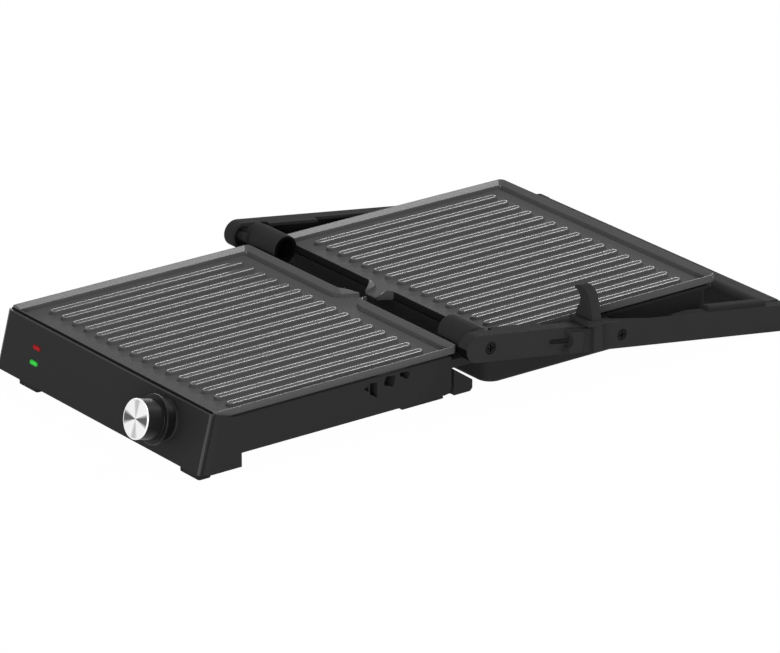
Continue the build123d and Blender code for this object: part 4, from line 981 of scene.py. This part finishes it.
# Finishes of the CAD nodes that are kept as they are
CARRIED = {
    "rubber": ("rear_feet", "cord_gland"),
    "housing": ("bottom_cover",),
    "front": ("knob_bezel",),
    "steel": (
        "cover_screws", "lower_plate_screws", "upper_plate_screws", "lower_heating_element",
        "upper_heating_element", "knob_shaft", "thermal_fuse", "lock_screw", "lock_washer",
    ),
    # The hinge spindles take the blackened steel as painted shade for the dark gap at the hinge
    "dark_steel": ("hinge_spindle_left", "hinge_spindle_right"),
    "shield": ("lower_heat_shield", "upper_heat_shield"),
    "board": ("lamp_board",),
    "pale": ("thermostat", "terminal_block"),
}


class GRILL_OT_carried(bpy.types.Operator):
    """Give the carried-over inner pieces their finishes"""

    bl_idname = "grill.carried"
    bl_label = "Inner pieces"

    def execute(self, context):
        for paint_name, nodes in CARRIED.items():
            for node in nodes:
                paint(frame["nodes"][node], paint_name)
        return {"FINISHED"}


# Azimuth and elevation in degrees, distance, aim and lens of the photograph's camera
CAMERA_TURN = 53.180
CAMERA_RISE = 21.388
CAMERA_DISTANCE = 4.6865
CAMERA_AIM = Vector((0.07914, HINGE.y - 0.03427, CREST))
CAMERA_LENS = 266.73


def seen_from(turn, rise):
    """Direction from the object towards a place at that azimuth and elevation, in degrees."""
    turn, rise = math.radians(turn), math.radians(rise)
    return Vector((math.sin(turn) * math.cos(rise), -math.cos(turn) * math.cos(rise), math.sin(rise)))


def add_camera():
    """The camera at the photograph's angle."""
    clear_selection()
    back = seen_from(CAMERA_TURN, CAMERA_RISE)
    turn = back.to_track_quat("Z", "Y").to_euler()
    bpy.ops.object.camera_add(location=CAMERA_AIM + back * CAMERA_DISTANCE, rotation=turn)
    camera = bpy.context.object
    camera.data.lens = CAMERA_LENS
    camera.data.sensor_width = 36.0
    camera.data.sensor_fit = "HORIZONTAL"
    camera.data.clip_end = 20.0
    bpy.context.scene.camera = camera


def add_lamp(name, turn, rise, distance, width, height, power):
    """A soft lamp that faces the grill."""
    clear_selection()
    towards = seen_from(turn, rise)
    facing = towards.to_track_quat("Z", "Y").to_euler()
    bpy.ops.object.light_add(type="AREA", location=towards * distance, rotation=facing)
    lamp = bpy.context.object
    lamp.name = name
    lamp.data.shape = "RECTANGLE"
    lamp.data.size = width
    lamp.data.size_y = height
    lamp.data.energy = power


# Azimuth, elevation, distance, width, height and power of each lamp
LAMPS = {
    "back_softbox": (162.0, 53.5, 7.0, 1.9, 1.5, 155.0),
    "side_fill": (43.0, 10.5, 3.0, 1.7, 1.06, 32.0),
    "rim_strip": (236.0, 12.8, 8.0, 4.8, 0.95, 95.0),
}
FLOOR_SIZE = 12.0
FLOOR_LEVEL = -0.0002
FLOOR_COLOUR = (0.95, 0.95, 0.95)
FLOOR_WHITE = 0.99
WORLD_LIGHT = 0.45


def add_floor():
    """A pale floor that keeps a faint shadow and reads white."""
    clear_selection()
    bpy.ops.mesh.primitive_plane_add(size=FLOOR_SIZE, location=(0, 0, FLOOR_LEVEL))
    floor = settle(bpy.context.object, "studio_floor")
    edit(floor)
    bpy.ops.mesh.subdivide(number_cuts=3)
    bpy.ops.object.mode_set(mode="OBJECT")
    finish = Finish("studio_floor", roughness=0.9, specular=0.0)
    finish.feed("Base Color", FLOOR_COLOUR)
    diffuse = Socket(finish, finish.shader.outputs[0])
    white = finish.node("Emission")
    amount = finish.seen_directly() * FLOOR_WHITE
    mixed = finish.node("MixShader", sockets={0: amount, 1: diffuse, 2: white})
    finish.fill(finish.tree.nodes["Material Output"].inputs["Surface"], mixed)
    floor.data.materials.append(finish.material)


def set_world():
    """Even grey light, white where the camera and reflections see it."""
    world = bpy.data.worlds.new("studio")
    bpy.context.scene.world = world
    world.use_nodes = True
    shading = Shading(world.node_tree)
    background = world.node_tree.nodes["Background"]
    background.inputs["Color"].default_value = (1, 1, 1, 1)
    strength = shading.seen_directly() * (1.0 - WORLD_LIGHT) + WORLD_LIGHT
    shading.fill(background.inputs["Strength"], strength)


class GRILL_OT_stage(bpy.types.Operator):
    """Set the camera, lamps, world and floor"""

    bl_idname = "grill.stage"
    bl_label = "Studio"

    def execute(self, context):
        context.scene.view_settings.view_transform = "Standard"
        add_camera()
        for name, values in LAMPS.items():
            add_lamp(name, *values)
        add_floor()
        set_world()
        return {"FINISHED"}


class GRILL_PT_panel(bpy.types.Panel):
    """The grill's steps and sizes"""

    bl_idname = "GRILL_PT_panel"
    bl_label = "Contact grill"
    bl_space_type = "VIEW_3D"
    bl_region_type = "UI"
    bl_category = "Grill"

    def draw(self, context):
        for operator in OPERATORS:
            self.layout.operator(operator.bl_idname)
        for group in (context.scene.grill_sizes, context.scene.grill_colours):
            for key in group.__annotations__:
                self.layout.prop(group, key)


OPERATORS = (
    GRILL_OT_plates, GRILL_OT_mouldings, GRILL_OT_knob, GRILL_OT_lamps, GRILL_OT_screws,
    GRILL_OT_carried, GRILL_OT_stage,
)
CLASSES = (GrillSizes, GrillColours, *OPERATORS, GRILL_PT_panel)


def register():
    """Registers the classes and gives the scene their values."""
    for item in CLASSES:
        bpy.utils.register_class(item)
    bpy.types.Scene.grill_sizes = bpy.props.PointerProperty(type=GrillSizes)
    bpy.types.Scene.grill_colours = bpy.props.PointerProperty(type=GrillColours)


def unregister():
    """Takes the values and the classes out again."""
    del bpy.types.Scene.grill_colours
    del bpy.types.Scene.grill_sizes
    for item in reversed(CLASSES):
        bpy.utils.unregister_class(item)


def main():
    """Builds the grill and its studio."""
    register()
    bpy.ops.grill.plates()
    bpy.ops.grill.mouldings()
    bpy.ops.grill.knob()
    bpy.ops.grill.lamps()
    bpy.ops.grill.screws()
    bpy.ops.grill.carried()
    bpy.ops.grill.stage()
    clear_selection()


if __name__ == "__main__":
    main()
